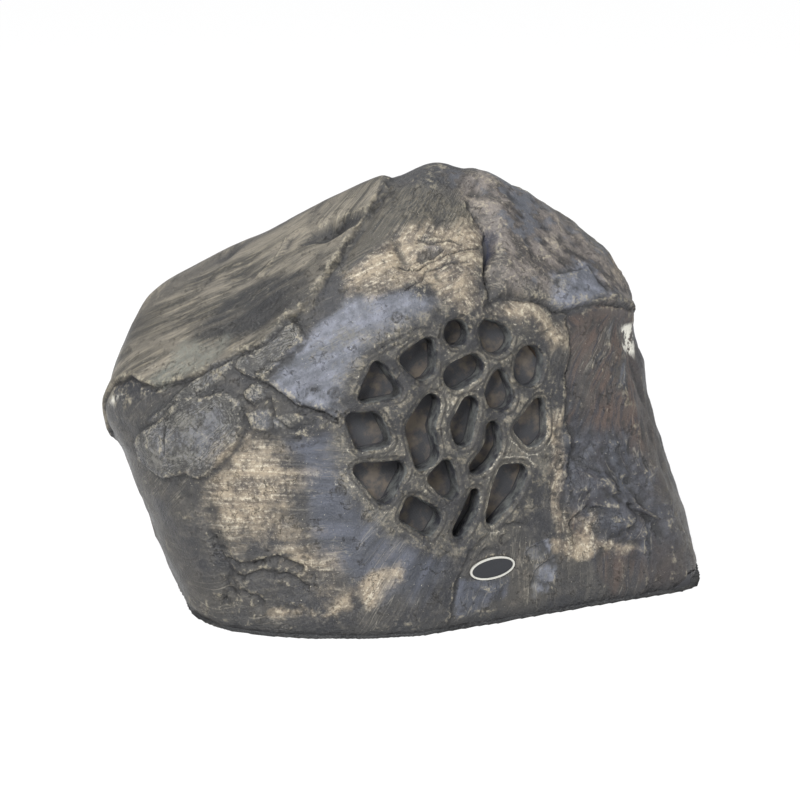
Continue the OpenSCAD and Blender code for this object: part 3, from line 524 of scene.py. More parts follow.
def undulation(points, p):
    """Shallow unevenness that the whole skin has, stronger where the real rock is rougher."""
    side = patch(p, SIDE_RING, 24)
    smooth_slab = patch(p, SLAB_RING, 20)
    away = smooth((np.linalg.norm(p, axis=1) - 290) / 80) * (1 - side) * (1 - smooth_slab)
    hung = points * np.array([1.0, 1.0, 0.32])
    height = 0.7 * noise(points, 30.0, 1) + 0.45 * noise(points, 12.0, 2)
    height = height + 0.18 * noise(points, 5.0, 7)
    height = height * (1 - 0.55 * smooth_slab)
    runs = 4.2 * (ridged(hung, 26.0, 3, 11) - CREST_MEAN)
    height = height + side * (runs + 1.2 * noise(hung, 9.0, 12))
    for ring, edge, lift, size, seed in ROUGH_AREAS:
        height = height + patch(p, ring, edge) * lift * (ridged(points, size, 3, seed) - CREST_MEAN)
    return height + away * 4.0 * (ridged(points, 46.0, 3, 20) - CREST_MEAN)


def fan_folds(p):
    """Crumpled folds that run out from one point to each tip, each with a sharp crest."""
    total = np.zeros(len(p))
    start = np.array(FAN, float)
    for k, tip in enumerate(FAN_TIPS):
        end = np.array(tip, float)
        along = end - start
        t = np.clip((p - start) @ along / (along @ along), 0, 1)
        gap = np.linalg.norm(p - start - t[:, None] * along, axis=1)
        width = 3.0 + 9.0 * t
        crest = np.maximum(0, 1 - gap / width)
        total += (5.0 - 1.4 * (k % 2)) * crest * (1 - 0.5 * t)
    hub = np.linalg.norm(p - start, axis=1)
    return total - 3.5 * np.exp(-(hub / 5.0) ** 2)


def slate_layers(points, q):
    """Thin steps along the split edge of the slate, and its rough broken face."""
    slate = np.maximum.reduce([patch(q, PLATES[name][2], 4) for name in SLATE])
    along = q @ np.array([0.72, 0.69])
    across = q @ np.array([-0.69, 0.72])
    steps = np.abs((across / 4.6 + 0.5 * noise(points, 14.0, 8)) % 1 - 0.5)
    rough = ridged(points, 13.0, 3, 9) - 0.5
    lines = 0.5 * smooth((steps - 0.3) * 6) * (0.6 + 0.4 * np.sin(along / 9))
    return slate * (1.5 * rough + lines)


# Depth under the skin at which inner faces begin, rim radius of the openings, and kept foot height
SKIN_DEPTH = 5.6
RIM_R = 3.5
FOOT_Z = 9.3
# Grooves of the CAD's skin are up to this deep, above this height and this far off the grille
GROOVE_DEPTH = 13
GROOVE_Z = 60
GROOVE_OFF = 25
# How far the openings' walls run out in front of the grille's plane, and the cable bore's radius
WALLS_FRONT = 10
INLET_R = 9.5
# Smallest height in mm at which the skin moves, and the height over which it eases in from there
STILL_Z, SETTLE_Z = 0.4, 15
# How often the openings' walls and rims are eased
RIM_EASING = 9
MOST_FACES = 190000


def badge_axes():
    """Right, up and outward from the badge's face, with its small turn."""
    out = direction(BADGE_BEARING, BADGE_LEAN)
    level = direction(BADGE_BEARING + 90, 0.0)
    rise = np.cross(out, level)
    turn = math.radians(BADGE_TURN)
    right = math.cos(turn) * level + math.sin(turn) * rise
    return right, np.cross(out, right), out


def oval_gap(points):
    """Distance in mm outside the badge's oval, near the badge only."""
    right, up, out = badge_axes()
    d = points - BADGE_MIDDLE
    x, y = d @ right, d @ up
    a, c = BADGE_SEAT[0] / 2, BADGE_SEAT[1] / 2
    k = np.sqrt((x / a) ** 2 + (y / c) ** 2)
    gap = (k - 1) * np.sqrt(x ** 2 + y ** 2) / np.maximum(k, 1e-3)
    return np.where(np.abs(d @ out) < 14, gap, FAR)


def gland_gap(points):
    """Distance in mm from the gland's axis, near the gland only."""
    d = points - GLAND_POS
    depth = d @ GLAND_AXIS
    gap = np.linalg.norm(d - depth[:, None] * GLAND_AXIS, axis=1)
    return np.where(np.abs(depth) < 14, gap, FAR)


def near_gap(points, targets, reach):
    """Distance from each point to the nearest target, or reach where there is none closer."""
    tree = kdtree.KDTree(len(targets))
    for i, t in enumerate(targets):
        tree.insert(t, i)
    tree.balance()
    return np.array([min(tree.find(p)[2], reach) for p in points])


def eased(points, faces, weight, times):
    """Moves each vertex towards the middle of its neighbours, by its weight."""
    ends = np.vstack([faces[:, [0, 1]], faces[:, [1, 2]], faces[:, [2, 0]]])
    ends = np.unique(np.sort(ends, axis=1), axis=0)
    count = np.bincount(ends.ravel(), minlength=len(points))[:, None]
    here, there = ends.ravel(), ends[:, ::-1].ravel()
    for _ in range(times):
        total = np.stack([np.bincount(here, points[there, k], len(points)) for k in range(3)], 1)
        points = points + weight[:, None] * (total / np.maximum(count, 1) - points)
    return points


def carved_rock(props):
    """Points and faces of the rock's outer skin, with its rims rounded and its features carved."""
    field = RadiusField("rock_shell", FIELD_STEP)
    points, faces = remeshed("rock_shell", props.voxel / MM)
    reach = np.linalg.norm(points - CORE, axis=1)
    u = (points - CORE) / reach[:, None]
    skin = field.at(u)
    under = skin - reach
    off, depth, flat = grille_local(points)
    in_grille = (off < GRILLE_R) & (depth > GRILLE_BACK)
    facing = (normals_of(points, faces) * u).sum(axis=1) > 0.25
    recess = ((points[:, 2] > GROOVE_Z) & (off > GRILLE_R + GROOVE_OFF)) | (oval_gap(points) < 6)
    groove = facing & recess & (under < GROOVE_DEPTH)
    outer = (under < np.where(in_grille, RIM_R, SKIN_DEPTH)) | groove
    wall = ~outer & (off < GRILLE_R) & (depth > WALLS_KEPT) & (depth < WALLS_FRONT)
    foot = points[:, 2] < FOOT_Z
    inlet = ~outer & (gland_gap(points) < INLET_R)
    keep = outer | wall | foot | inlet

    near = outer & (off < GRILLE_R + GRILLE_EDGE) & (depth > GRILLE_BACK)
    rim = np.full(len(points), FAR)
    rim[near] = near_gap(flat[near], flat[wall], 30.0)
    drop = RIM_R - np.sqrt(np.maximum(RIM_R ** 2 - np.maximum(RIM_R - rim, 0) ** 2, 0))

    height = props.relief * relief(points, map_of(points))
    calm = smooth((oval_gap(points) - 1.5) / 8) * smooth((gland_gap(points) - 17) / 10)
    calm = calm * (0.35 + 0.65 * smooth(rim / 9))
    frozen = 1 - smooth((oval_gap(points) - 0.8) / 2) * smooth((gland_gap(points) - 16) / 2)
    move = (skin + height * calm - drop - reach) * (1 - frozen)
    move = np.where(outer & (points[:, 2] > STILL_Z), move, 0)
    moved = points + move[:, None] * u
    settle = smooth((points[:, 2] - 1.0) / SETTLE_Z)
    moved[:, 2] = points[:, 2] + (moved[:, 2] - points[:, 2]) * settle
    moved[:, 2] = np.maximum(moved[:, 2], 0)

    moved, faces, kept = picked(moved, faces[keep[faces].all(axis=1)])
    soft = np.where((rim[kept] < 6) | wall[kept], 0.5, 0.0) * (1 - frozen[kept])
    return eased(moved, faces, soft, RIM_EASING), faces


def thinned(name, points, faces, most):
    """A mesh of the points and faces with at most that many triangles, kept finest at its edges."""
    mesh = mesh_from(name, points, faces)
    if len(faces) <= most:
        return mesh
    obj = bpy.data.objects.new(name + "_full", mesh)
    bpy.context.collection.objects.link(obj)
    modifier = obj.modifiers.new("thin", "DECIMATE")
    modifier.ratio = most / len(faces)
    result = evaluated(obj)
    bpy.data.objects.remove(obj)
    bpy.data.meshes.remove(mesh)
    result.name = name
    for vertex in result.vertices:
        vertex.co.z = max(vertex.co.z, 0.0)
    return result


def lining_mesh():
    """The CAD's own inner faces of the shell, which close the rock from inside."""
    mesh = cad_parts["rock_shell"].data
    points, faces = vertices_of(mesh), triangles_of(mesh)
    middle = points[faces].mean(axis=1)
    off, depth, _ = grille_local(middle)
    a, b, c = points[faces].transpose(1, 0, 2)
    inward = (np.cross(b - a, c - a) * (middle - CORE)).sum(axis=1) < 0
    wall = (off < GRILLE_R) & (depth > WALLS_LEFT)
    inside = inward & ~wall & (middle[:, 2] > 1)
    return mesh_from("rock_lining", *picked(points, faces[inside])[:2])


# ---------------------------------------------------------------- the rock's paint

# The slab on top and the right-hand side as closed outlines in the drawing map
SLAB_RING = SLAB_LINE[:14] + [(0, 300), (0, 480), (-480, 480), (-480, -90)]
SIDE_RING = SIDE_LINE + [(215, -300), (520, -300), (520, 200), (274, 93), (240, 95)]
# How far outside the openings their rims' thin dark line lies, and how far it is looked for
RIM_LINE, RIM_LINE_REACH = 4.2, 20.0
# Height in mm up to which the foot's dark band fades out
BAND_Z = 16
# Which way the brush went: middle of each area in the drawing map, and the angle there
FLOWS = (((-170, 110), 34), ((-120, -110), -10), ((-60, 40), 30), ((20, 200), 56), ((10, 130), 28),
         ((160, 140), -38), ((245, -20), 84), ((20, -160), 38), ((160, -90), 62), ((-200, -40), 47),
         ((-100, -180), -6))


def normals_of(points, faces):
    """Unit normals at the points, each the mean of its faces' normals by area."""
    corner = points[faces]
    n = np.cross(corner[:, 1] - corner[:, 0], corner[:, 2] - corner[:, 0])
    total = np.stack([np.bincount(faces.ravel(), np.repeat(n[:, k], 3), len(points))
                      for k in range(3)], 1)
    return total / np.maximum(np.linalg.norm(total, axis=1, keepdims=True), 1e-12)


def along_flow(p, q):
    """Map points turned so that their first number runs the way the nearest area was brushed.

    The second result falls to 0 where two areas meet, so that the strokes can fade out there.
    """
    gaps = np.stack([np.linalg.norm(q - np.array(middle), axis=1) for middle, _ in FLOWS], 1)
    a = np.radians([angle for _, angle in FLOWS])[gaps.argmin(axis=1)]
    first, second = np.sort(gaps, axis=1)[:, :2].T
    turned = np.stack([p[:, 0] * np.cos(a) + p[:, 1] * np.sin(a),
                       p[:, 1] * np.cos(a) - p[:, 0] * np.sin(a)], 1)
    return turned, smooth((second - first) / 16)


def region(q, name):
    """1 where a paint lies and 0 elsewhere, over all of its outlines."""
    return np.maximum.reduce([patch(q, ring, edge) for edge, ring in PAINT[name]])


def put_colour(mesh, name, channels):
    """Keeps four values from 0 to 1 at each point of the mesh, as one colour."""
    layer = mesh.attributes.new(name, "FLOAT_COLOR", "POINT")
    values = np.stack([np.clip(c, 0, 1) for c in channels], 1).astype(np.float32)
    layer.data.foreach_set("color", values.ravel())


def paint_masks(mesh):
    """Keeps on the mesh, for its material, where each paint lies and which way it was brushed."""
    points, faces = vertices_of(mesh), triangles_of(mesh)
    normals = normals_of(points, faces)
    p = map_of(points)
    q = p + np.stack([noise(points, 16.0, 31), noise(points, 16.0, 32)], 1) * 4.0
    q += np.stack([noise(points, 5.0, 33), noise(points, 5.0, 34)], 1) * 1.6

    # Hollows take painted shade; raised edges take the tan dry brushing
    even = eased(points, faces, np.ones(len(points)), 4)
    hollow = ((even - points) * normals).sum(axis=1)
    wear, hollow_shade = smooth((-hollow - 0.08) / 0.4), smooth((hollow - 0.03) / 0.35)

    front = smooth((330 - np.linalg.norm(p, axis=1)) / 60)
    wide = [fractal(points, 90.0, 2, k) for k in (41, 42, 43)]
    slab = patch(q, SLAB_RING, 3.0)
    side = patch(q, SIDE_RING, 8.0)
    up = smooth(normals[:, 2] * 1.6 - 0.25)
    slab = np.maximum(slab * front, (1 - front) * smooth(up + 0.5 * wide[0] - 0.2))
    side = np.maximum(side * front, (1 - front) * smooth(0.4 + wide[1] - up))
    tan = np.maximum(region(q, "tan"), (1 - front) * smooth(wide[2] * 2.2 - 0.35))
    blue = np.maximum(region(q, "blue"), (1 - front) * smooth(-wide[2] * 2.0 - 0.3))
    off, depth, flat = grille_local(points)
    facing = (normals * GRILLE_AXIS).sum(axis=1)
    inside = (off < GRILLE_R) & (facing < 0.45) & (depth > WALLS_DARK)
    band = smooth(1 - points[:, 2] / BAND_Z)
    web = smooth((GRILLE_R + GRILLE_EDGE - off) / 16) * (depth > GRILLE_BACK)
    rim = np.full(len(points), RIM_LINE_REACH)
    near = (off < GRILLE_R + GRILLE_EDGE) & (depth > GRILLE_BACK) & ~inside
    rim[near] = near_gap(flat[near], flat[inside], RIM_LINE_REACH)
    rim = np.where(rim < RIM_LINE, rim / RIM_LINE, 1 - (rim - RIM_LINE) / 1.6)
    rim = np.where(inside, 0.0, rim)
    slate_gap = np.minimum.reduce([line_gap(q, PLATES[name][2], 20, True)[0] for name in SLATE])

    put_colour(mesh, "paint_a", (tan, blue, slab, side))
    put_colour(mesh, "paint_b", [region(q, name) for name in ("dark", "pale", "slate", "brow")])
    put_colour(mesh, "paint_c", (wear, hollow_shade, inside.astype(float), band))
    put_colour(mesh, "paint_d", (region(q, "navy"), region(q, "white"), rim, web))
    put_colour(mesh, "paint_e", (region(q, "deep"), slate_gap / 20, region(q, "mauve"),
                                 region(q, "crumple")))
    swirl = np.stack([noise(points, 30.0, 35), noise(points, 30.0, 36)], 1) * 14
    flow, sure = along_flow(p, q + swirl)
    flow = np.column_stack([flow, wide[0] * 20])
    rear = front < 0.5
    for chosen, aim in ((rear, (0.24, 0.1, 0.97)), (rear & (up > 0.5), (0.72, 0.68, 0.12))):
        along = np.array(aim) / np.linalg.norm(aim)
        across = np.cross(along, (0.3, -0.8, 0.5))
        across /= np.linalg.norm(across)
        flow[chosen] = points[chosen] @ np.stack([along, across, np.cross(along, across)], 1)
    sure = sure * smooth(np.abs(front - 0.5) * 4)
    sure = sure * np.where(rear, smooth(np.abs(up - 0.5) * 4), 1)
    put_colour(mesh, "paint_f", (sure, sure, sure, sure))
    layer = mesh.attributes.new("flow", "FLOAT_VECTOR", "POINT")
    layer.data.foreach_set("vector", (flow * MM).astype(np.float32).ravel())


# ---------------------------------------------------------------- materials

# How many radians of layers the slate shows over the reach of its mask, and depth of the paint's
# bumps
SLATE_LAYERS = 58.0
BUMP_MM = 1.6
# Spacing of the cloth's threads and of the coils' turns, both coarser than real so that they show
THREAD_MM = 1.1
WIRE_MM = 0.9


def linear(colour):
    """The linear colour of an sRGB hex value."""
    parts = [int(colour[i:i + 2], 16) / 255 for i in (1, 3, 5)]
    parts = [c / 12.92 if c <= 0.04045 else ((c + 0.055) / 1.055) ** 2.4 for c in parts]
    return (*parts, 1.0)


def add_node(tree, kind, inputs=None, **settings):
    """A shader node with its settings, and each input set to a value or joined to a socket."""
    node = tree.nodes.new(kind)
    for name, value in settings.items():
        setattr(node, name, value)
    for key, value in (inputs or {}).items():
        if isinstance(value, bpy.types.NodeSocket):
            tree.links.new(value, node.inputs[key])
        else:
            node.inputs[key].default_value = value
    return node


class Painter:
    """Short names for the few node patterns that every material here is made of."""

    def __init__(self, name):
        self.material = bpy.data.materials.new(name)
        self.material.use_nodes = True
        self.tree = self.material.node_tree
        self.shader = self.tree.nodes["Principled BSDF"]
        self.place = add_node(self.tree, "ShaderNodeTexCoord").outputs["Object"]
        self.colour = None

    def math(self, operation, a, b=0.0, c=0.0):
        """One sum with up to three numbers or sockets."""
        return add_node(self.tree, "ShaderNodeMath", {0: a, 1: b, 2: c},
                        operation=operation).outputs[0]

    def chain(self, operation, first, *others):
        """One operation done with each of the others in turn."""
        for other in others:
            first = self.math(operation, first, other)
        return first

    def product(self, *terms):
        """All the terms multiplied."""
        return self.chain("MULTIPLY", *terms)

    def total(self, *terms):
        """All the terms added up."""
        return self.chain("ADD", *terms)

    def swing(self, value, size):
        """Noise turned to go from -size/2 to size/2."""
        return self.math("MULTIPLY_ADD", value, size, -size / 2)

    def grain(self, size_mm, detail=3.0, rough=0.55, place=None, stretch=None, seed=0.0):
        """Noise from 0 to 1 whose patches are about size_mm wide."""
        where = place or self.place
        scale = 1.0 / (size_mm * MM)
        if stretch or seed:
            where = add_node(self.tree, "ShaderNodeMapping", {
                "Vector": where, "Scale": stretch or (1.0, 1.0, 1.0),
                "Location": (seed, seed * 0.7, seed * 1.3)}).outputs[0]
        return add_node(self.tree, "ShaderNodeTexNoise", {
            "Vector": where, "Scale": scale, "Detail": detail, "Roughness": rough}).outputs[0]

    def hairline(self, value, width):
        """1 along the thin curves where a noise crosses its middle, 0 elsewhere."""
        away = self.math("ABSOLUTE", self.math("SUBTRACT", value, 0.5))
        return self.band(away, width, width * 0.3)

    def band(self, value, low, high, out_low=0.0, out_high=1.0):
        """value eased from out_low to out_high as it goes from low to high."""
        return add_node(self.tree, "ShaderNodeMapRange", {
            "Value": value, "From Min": low, "From Max": high, "To Min": out_low,
            "To Max": out_high}, interpolation_type="SMOOTHSTEP").outputs[0]

    def mix(self, amount, under, over):
        """Colour over laid on colour under, each a hex value or a socket."""
        node = add_node(self.tree, "ShaderNodeMix", {"Factor": amount}, data_type="RGBA")
        for key, colour in ((6, under), (7, over)):
            if isinstance(colour, str):
                node.inputs[key].default_value = linear(colour)
            else:
                self.tree.links.new(colour, node.inputs[key])
        return node.outputs[2]

    def lay(self, over, *amounts):
        """Lays a colour over the paint so far, as strongly as the product of its amounts."""
        self.colour = self.mix(self.product(*amounts), self.colour, over)

    def masks(self, name):
        """The four values of a paint attribute."""
        node = add_node(self.tree, "ShaderNodeAttribute", attribute_name=name)
        split = add_node(self.tree, "ShaderNodeSeparateColor", {0: node.outputs["Color"]})
        return [split.outputs[0], split.outputs[1], split.outputs[2], node.outputs["Alpha"]]

    def vector(self, name):
        """The vector of an attribute."""
        return add_node(self.tree, "ShaderNodeAttribute", attribute_name=name).outputs["Vector"]

    def finish(self, colour, roughness, height=None, depth_mm=0.2, strength=1.0):
        """Joins colour, roughness and bumps to the shader, and gives the material."""
        for key, value in (("Base Color", colour), ("Roughness", roughness)):
            if isinstance(value, bpy.types.NodeSocket):
                self.tree.links.new(value, self.shader.inputs[key])
            else:
                value = linear(value) if isinstance(value, str) else value
                self.shader.inputs[key].default_value = value
        if height is not None:
            bump = add_node(self.tree, "ShaderNodeBump", {
                "Height": height, "Distance": depth_mm * MM, "Strength": strength})
            self.tree.links.new(bump.outputs[0], self.shader.inputs["Normal"])
        return self.material


def rock_paint(props):
    """Moulded plastic painted in layers: washes, then dry brushing that catches high spots, with
    painted shade in the hollows and painted glints on the openings' rims.
    """
    k = Painter("rock_dry_brushed_paint")
    product, total, swing = k.product, k.total, k.swing
    tan, blue, slab, side = k.masks("paint_a")
    dark, pale, slate, brow = k.masks("paint_b")
    wear, hollow_shade, inside, band = k.masks("paint_c")
    navy, white, rim, web = k.masks("paint_d")
    deep, slate_gap, mauve, crumple = k.masks("paint_e")
    flow = k.vector("flow")
    sure = k.masks("paint_f")[0]

    # Noise at the sizes that the eye meets: clouds, mottling, brush marks, specks and dust
    cloud = k.grain(42, 4)
    mottle = k.grain(10, 5, 0.65, seed=3.1)
    speck = k.grain(3.0, 4, 0.7, seed=5.7)
    dust = k.grain(1.3, 2, 0.6, seed=8.3)
    streak = k.grain(13, 5, 0.6, flow, (0.07, 1.0, 1.0))
    bristle = k.grain(2.4, 4, 0.6, flow, (0.03, 1.0, 1.0), 2.0)
    streak, bristle = (total(0.5, product(swing(mark, 1.0), sure)) for mark in (streak, bristle))

    crack = product(k.hairline(k.grain(22, 7, 0.62, seed=1.7), 0.011), k.band(mottle, 0.49, 0.56))
    scratch = product(k.hairline(k.grain(9, 3, 0.6, flow, (0.05, 1.0, 1.0), 4.4), 0.012),
                      k.band(cloud, 0.45, 0.6), sure)

    # Cloudy charcoal ground, faintly blue and brown by turns
    k.colour = k.mix(k.band(cloud, 0.35, 0.65), "#27282c", "#3c3a37")
    k.lay("#504d49", k.band(mottle, 0.42, 0.7, 0, 0.6))
    k.lay("#6a665e", k.band(total(bristle, swing(speck, 0.6)), 0.5, 0.75, 0, 0.4))
    k.lay("#1d1d20", k.band(total(cloud, swing(speck, 0.6)), 0.42, 0.3, 0, 0.5))

    # Brown right-hand side with dark blue-grey runs, and the mauve-brown top right of it
    k.lay("#54453d", side, k.band(streak, 0.4, 0.6, 0.05, 0.8))
    k.lay("#22252e", side, k.band(bristle, 0.5, 0.6, 0, 0.75))
    k.lay("#5d616b", side, k.band(streak, 0.42, 0.34, 0, 0.5))
    rust = k.mix(k.band(total(streak, swing(mottle, 0.7)), 0.38, 0.62), "#3d3937", "#77706b")
    k.lay(rust, mauve, k.band(total(cloud, swing(speck, 0.4)), 0.36, 0.54, 0.05, 0.95))
    k.lay("#6b6f78", mauve, k.band(total(cloud, swing(mottle, 0.6)), 0.5, 0.4, 0, 0.5))
    k.lay("#a09686", mauve, k.band(total(speck, swing(cloud, 1.0)), 0.56, 0.8, 0, 0.6))
    k.lay(k.mix(k.band(mottle, 0.35, 0.68), "#23252c", "#4d5058"), crumple, 0.85)

    # Olive-brown slab with long soft streaks
    olive = k.mix(k.band(total(streak, swing(cloud, 0.4)), 0.36, 0.64), "#3b3831", "#7e776a")
    k.lay(olive, slab, 0.9)
    k.lay("#968d79", slab, k.band(bristle, 0.5, 0.68, 0, 0.45))
    k.lay("#37352f", slab, k.band(bristle, 0.49, 0.34, 0, 0.5))

    # Blue-grey washes on the front faces, thin and scratched
    cover = total(blue, swing(cloud, 0.7), swing(streak, 0.5), swing(mottle, 0.5))
    wash = k.mix(k.band(total(mottle, swing(streak, 0.8)), 0.3, 0.72), "#565960", "#7c7f8a")
    wash = k.mix(k.band(total(cloud, swing(speck, 0.5)), 0.5, 0.68, 0, 0.5), wash, "#7b776c")
    k.lay(wash, k.band(cover, 0.15, 0.9, 0, 0.92))
    cover = total(deep, swing(cloud, 0.7), swing(streak, 0.6), swing(mottle, 0.5))
    k.lay(k.mix(k.band(streak, 0.4, 0.65), "#393d46", "#575b67"),
          k.band(cover, 0.15, 0.95, 0, 0.75))

    # Brow, slate with its split layers, painted shade on the slab's lower part and in the top dent,
    # and pale patch
    k.lay(k.mix(k.band(bristle, 0.35, 0.65), "#2f2e2a", "#635d50"), brow, 0.7)
    layer = product(total(slate_gap, swing(mottle, 0.25), swing(speck, 0.1)), SLATE_LAYERS)
    layer = k.band(k.math("SINE", layer), 0.3, 0.95)
    stone = k.mix(k.band(total(mottle, swing(speck, 0.8)), 0.35, 0.65), "#393836", "#6b6963")
    stone = k.mix(k.band(total(cloud, swing(speck, 0.5)), 0.48, 0.66, 0, 0.5), stone, "#6a6d76")
    stone = k.mix(product(layer, k.band(slate_gap, 0.95, 0.4, 0, 0.85)), stone, "#242424")
    stone = k.mix(product(crack, 0.9), stone, "#242424")
    k.lay(stone, slate, k.band(mottle, 0.25, 0.5, 0.6, 0.97))
    # Painted shade on the slab's lower part and in the top dent
    k.lay("#1e1e1f", dark, k.band(streak, 0.35, 0.65, 1.0, 0.7))
    k.lay("#6f736c", pale, k.band(speck, 0.38, 0.6, 0.2, 0.6))

    # Webs of the grille are a greyer olive
    k.lay(k.mix(k.band(total(mottle, swing(cloud, 0.8)), 0.35, 0.65), "#29292b", "#5a5750"),
          web, 0.75)
    k.lay("#8d8573", web, k.band(total(speck, swing(mottle, 0.9)), 0.48, 0.75, 0, 0.6))

    # Tan dry brushing: a soft veil, thick in the middle of each patch, streaked and lightly pitted
    cover = total(tan, swing(cloud, 1.5), swing(streak, 1.2), swing(mottle, 0.8), swing(speck, 0.5))
    brushed = product(k.band(cover, 0.2, 1.25, 0, 0.96), props.tan)
    sand = k.mix(k.band(total(streak, swing(mottle, 0.9)), 0.36, 0.66), "#6d6255", "#a3957f")
    sand = k.mix(k.band(total(speck, swing(bristle, 0.8)), 0.48, 0.78, 0, 0.85), sand, "#dfd4bd")
    k.lay(sand, brushed)
    k.lay("#3a3430", k.band(total(speck, swing(mottle, 0.5)), 0.40, 0.31), tan, 0.7)
    k.lay("#26231f", crack, 0.6)
    k.lay("#a8a293", scratch, 0.3)
    k.lay("#a39b87", k.band(wear, 0.4, 0.9),
          k.band(total(speck, swing(mottle, 0.8)), 0.45, 0.68, 0, 0.6),
          k.band(web, 0.0, 1.0, 1.0, 0.08))

    # Insides of the openings stay dark, hollows and grooves take painted shade, and the foot is
    # darker towards the bottom
    k.lay(k.mix(k.band(mottle, 0.38, 0.62), "#33343a", "#6a6d6c"), inside, 0.9)
    # Painted shade in the hollows and grooves
    k.lay("#242425", hollow_shade, 0.8)
    k.lay("#38393b", band, 0.7)
    k.lay("#2a2e40", navy, 0.9)

    # Pits that the brush skipped, pale specks, the rims' thin line, painted glints on the openings'
    # rounded edges, and chips down to the plastic
    k.lay("#2c2b2a", k.band(dust, 0.38, 0.28, 0, 0.65))
    k.lay("#c9c3b0", k.band(total(dust, product(tan, 0.05)), 0.70, 0.77, 0, 0.7))
    k.lay("#1a1919", k.band(rim, 0.5, 0.85), k.band(mottle, 0.35, 0.6, 0.3, 0.85))
    # Painted glints: pale specks on the rounded edges of the openings
    k.lay("#cfc9b8", k.band(rim, 0.02, 0.15), k.band(rim, 0.4, 0.25),
          k.band(total(speck, swing(cloud, 1.0)), 0.60, 0.70), 0.5)
    k.lay("#dcd9cd", white, k.band(mottle, 0.46, 0.54))

    shine = k.band(total(cloud, swing(speck, 0.4)), 0.35, 0.65, props.gloss, props.gloss + 0.14)
    shine = total(shine, product(brushed, 0.1))
    height = total(product(mottle, 0.8), product(speck, 0.75), product(dust, 0.26),
                   product(bristle, 0.35), product(crack, -0.3), product(scratch, -0.1))
    return k.finish(k.colour, shine, height, BUMP_MM)


def woven_cloth():
    """Black acoustic cloth: a plain weave with brown dust on it."""
    k = Painter("woven_polyester_cloth")
    wave = 2 * math.pi / (THREAD_MM * MM)
    split = add_node(k.tree, "ShaderNodeSeparateXYZ", {0: k.place})
    across = k.math("SINE", k.math("MULTIPLY", split.outputs[0], wave))
    upward = k.math("SINE", k.math("MULTIPLY", split.outputs[2], wave))
    weave = k.math("MULTIPLY", across, upward)
    dusty = k.grain(14, 4, 0.6)
    thread = k.mix(k.band(weave, -0.6, 0.8), "#3a3b3d", "#66666a")
    colour = k.mix(k.band(dusty, 0.42, 0.66, 0, 0.7), thread, "#85796a")
    return k.finish(colour, 0.9, weave, 0.25, 0.7)


def even_finish(name, colour, second, size_mm, roughness, metallic=0.0):
    """A plain surface whose colour and grain vary a little, as any moulded or turned one does."""
    k = Painter(name)
    k.shader.inputs["Metallic"].default_value = metallic
    grain = k.grain(size_mm, 3)
    rough = k.band(grain, 0.2, 0.8, roughness - 0.06, roughness + 0.06)
    return k.finish(k.mix(grain, colour, second), rough, grain, 0.05, 0.5)


def wound_wire():
    """Turns of enamelled copper wire side by side round the coil's axis."""
    k = Painter("enamelled_copper_wire")
    k.shader.inputs["Metallic"].default_value = 0.6
    split = add_node(k.tree, "ShaderNodeSeparateXYZ", {0: k.place})
    turn = k.math("SINE", k.math("MULTIPLY", split.outputs[2], 2 * math.pi / (WIRE_MM * MM)))
    return k.finish(k.mix(k.band(turn, -0.8, 0.6), "#7a3f20", "#c07a48"), 0.35, turn, 0.3, 0.8)


# Slot of the record, then what it is made of and how: two colours, grain in mm, roughness, metal
FINISHES = {
    "spacer": ("sealed_fibreboard", "#3a2f26", "#46392e", 2.0, 0.8, 0.0),
    "foam_rubber": ("closed_cell_foam_rubber", "#26262a", "#303034", 1.0, 0.9, 0.0),
    "basket_steel": ("powder_coated_pressed_steel", "#1f1f21", "#29292b", 1.2, 0.55, 0.0),
    "butyl": ("moulded_butyl_rubber", "#202022", "#28282b", 2.0, 0.6, 0.0),
    "cone": ("moulded_polypropylene_cone", "#34343a", "#2b2b30", 3.0, 0.45, 0.0),
    "spider": ("resin_dipped_cotton", "#a5814f", "#8f6c3f", 0.8, 0.85, 0.0),
    "former": ("rolled_kapton_film", "#b9a27a", "#a78d60", 4.0, 0.35, 0.0),
    "plated_steel": ("zinc_plated_turned_steel", "#9a9da0", "#85888c", 1.5, 0.35, 0.9),
    "ferrite": ("ground_sintered_ferrite", "#2c2c2e", "#3a3a3c", 1.5, 0.6, 0.0),
    "tweeter_plastic": ("moulded_abs", "#232326", "#1b1b1d", 1.5, 0.5, 0.0),
    "dome": ("doped_silk_dome", "#c9c3b4", "#b5ae9c", 0.6, 0.75, 0.0),
    "phenolic": ("cut_phenolic_sheet", "#3b2c22", "#4a382c", 2.0, 0.6, 0.0),
    "screw_steel": ("zinc_plated_cold_headed_steel", "#8f9296", "#777a7e", 0.8, 0.4, 0.9),
    "base_plastic": ("moulded_polypropylene_plate", "#242426", "#2d2d30", 2.5, 0.55, 0.0),
    "board": ("glass_epoxy_board", "#1f4a34", "#285a40", 1.0, 0.5, 0.0),
    "capacitor": ("dipped_film_capacitor", "#b7b2a0", "#a59f8c", 2.0, 0.4, 0.0),
    "resistor": ("cement_filled_ceramic", "#d8d2c4", "#c6bfb0", 0.8, 0.85, 0.0),
    "terminal_plastic": ("moulded_nylon", "#2d6a4a", "#27603f", 1.5, 0.5, 0.0),
    "gland_plastic": ("moulded_nylon_black", "#1d1d1f", "#27272a", 1.2, 0.5, 0.0),
    "gland_rubber": ("moulded_neoprene", "#161617", "#202021", 1.0, 0.8, 0.0),
}


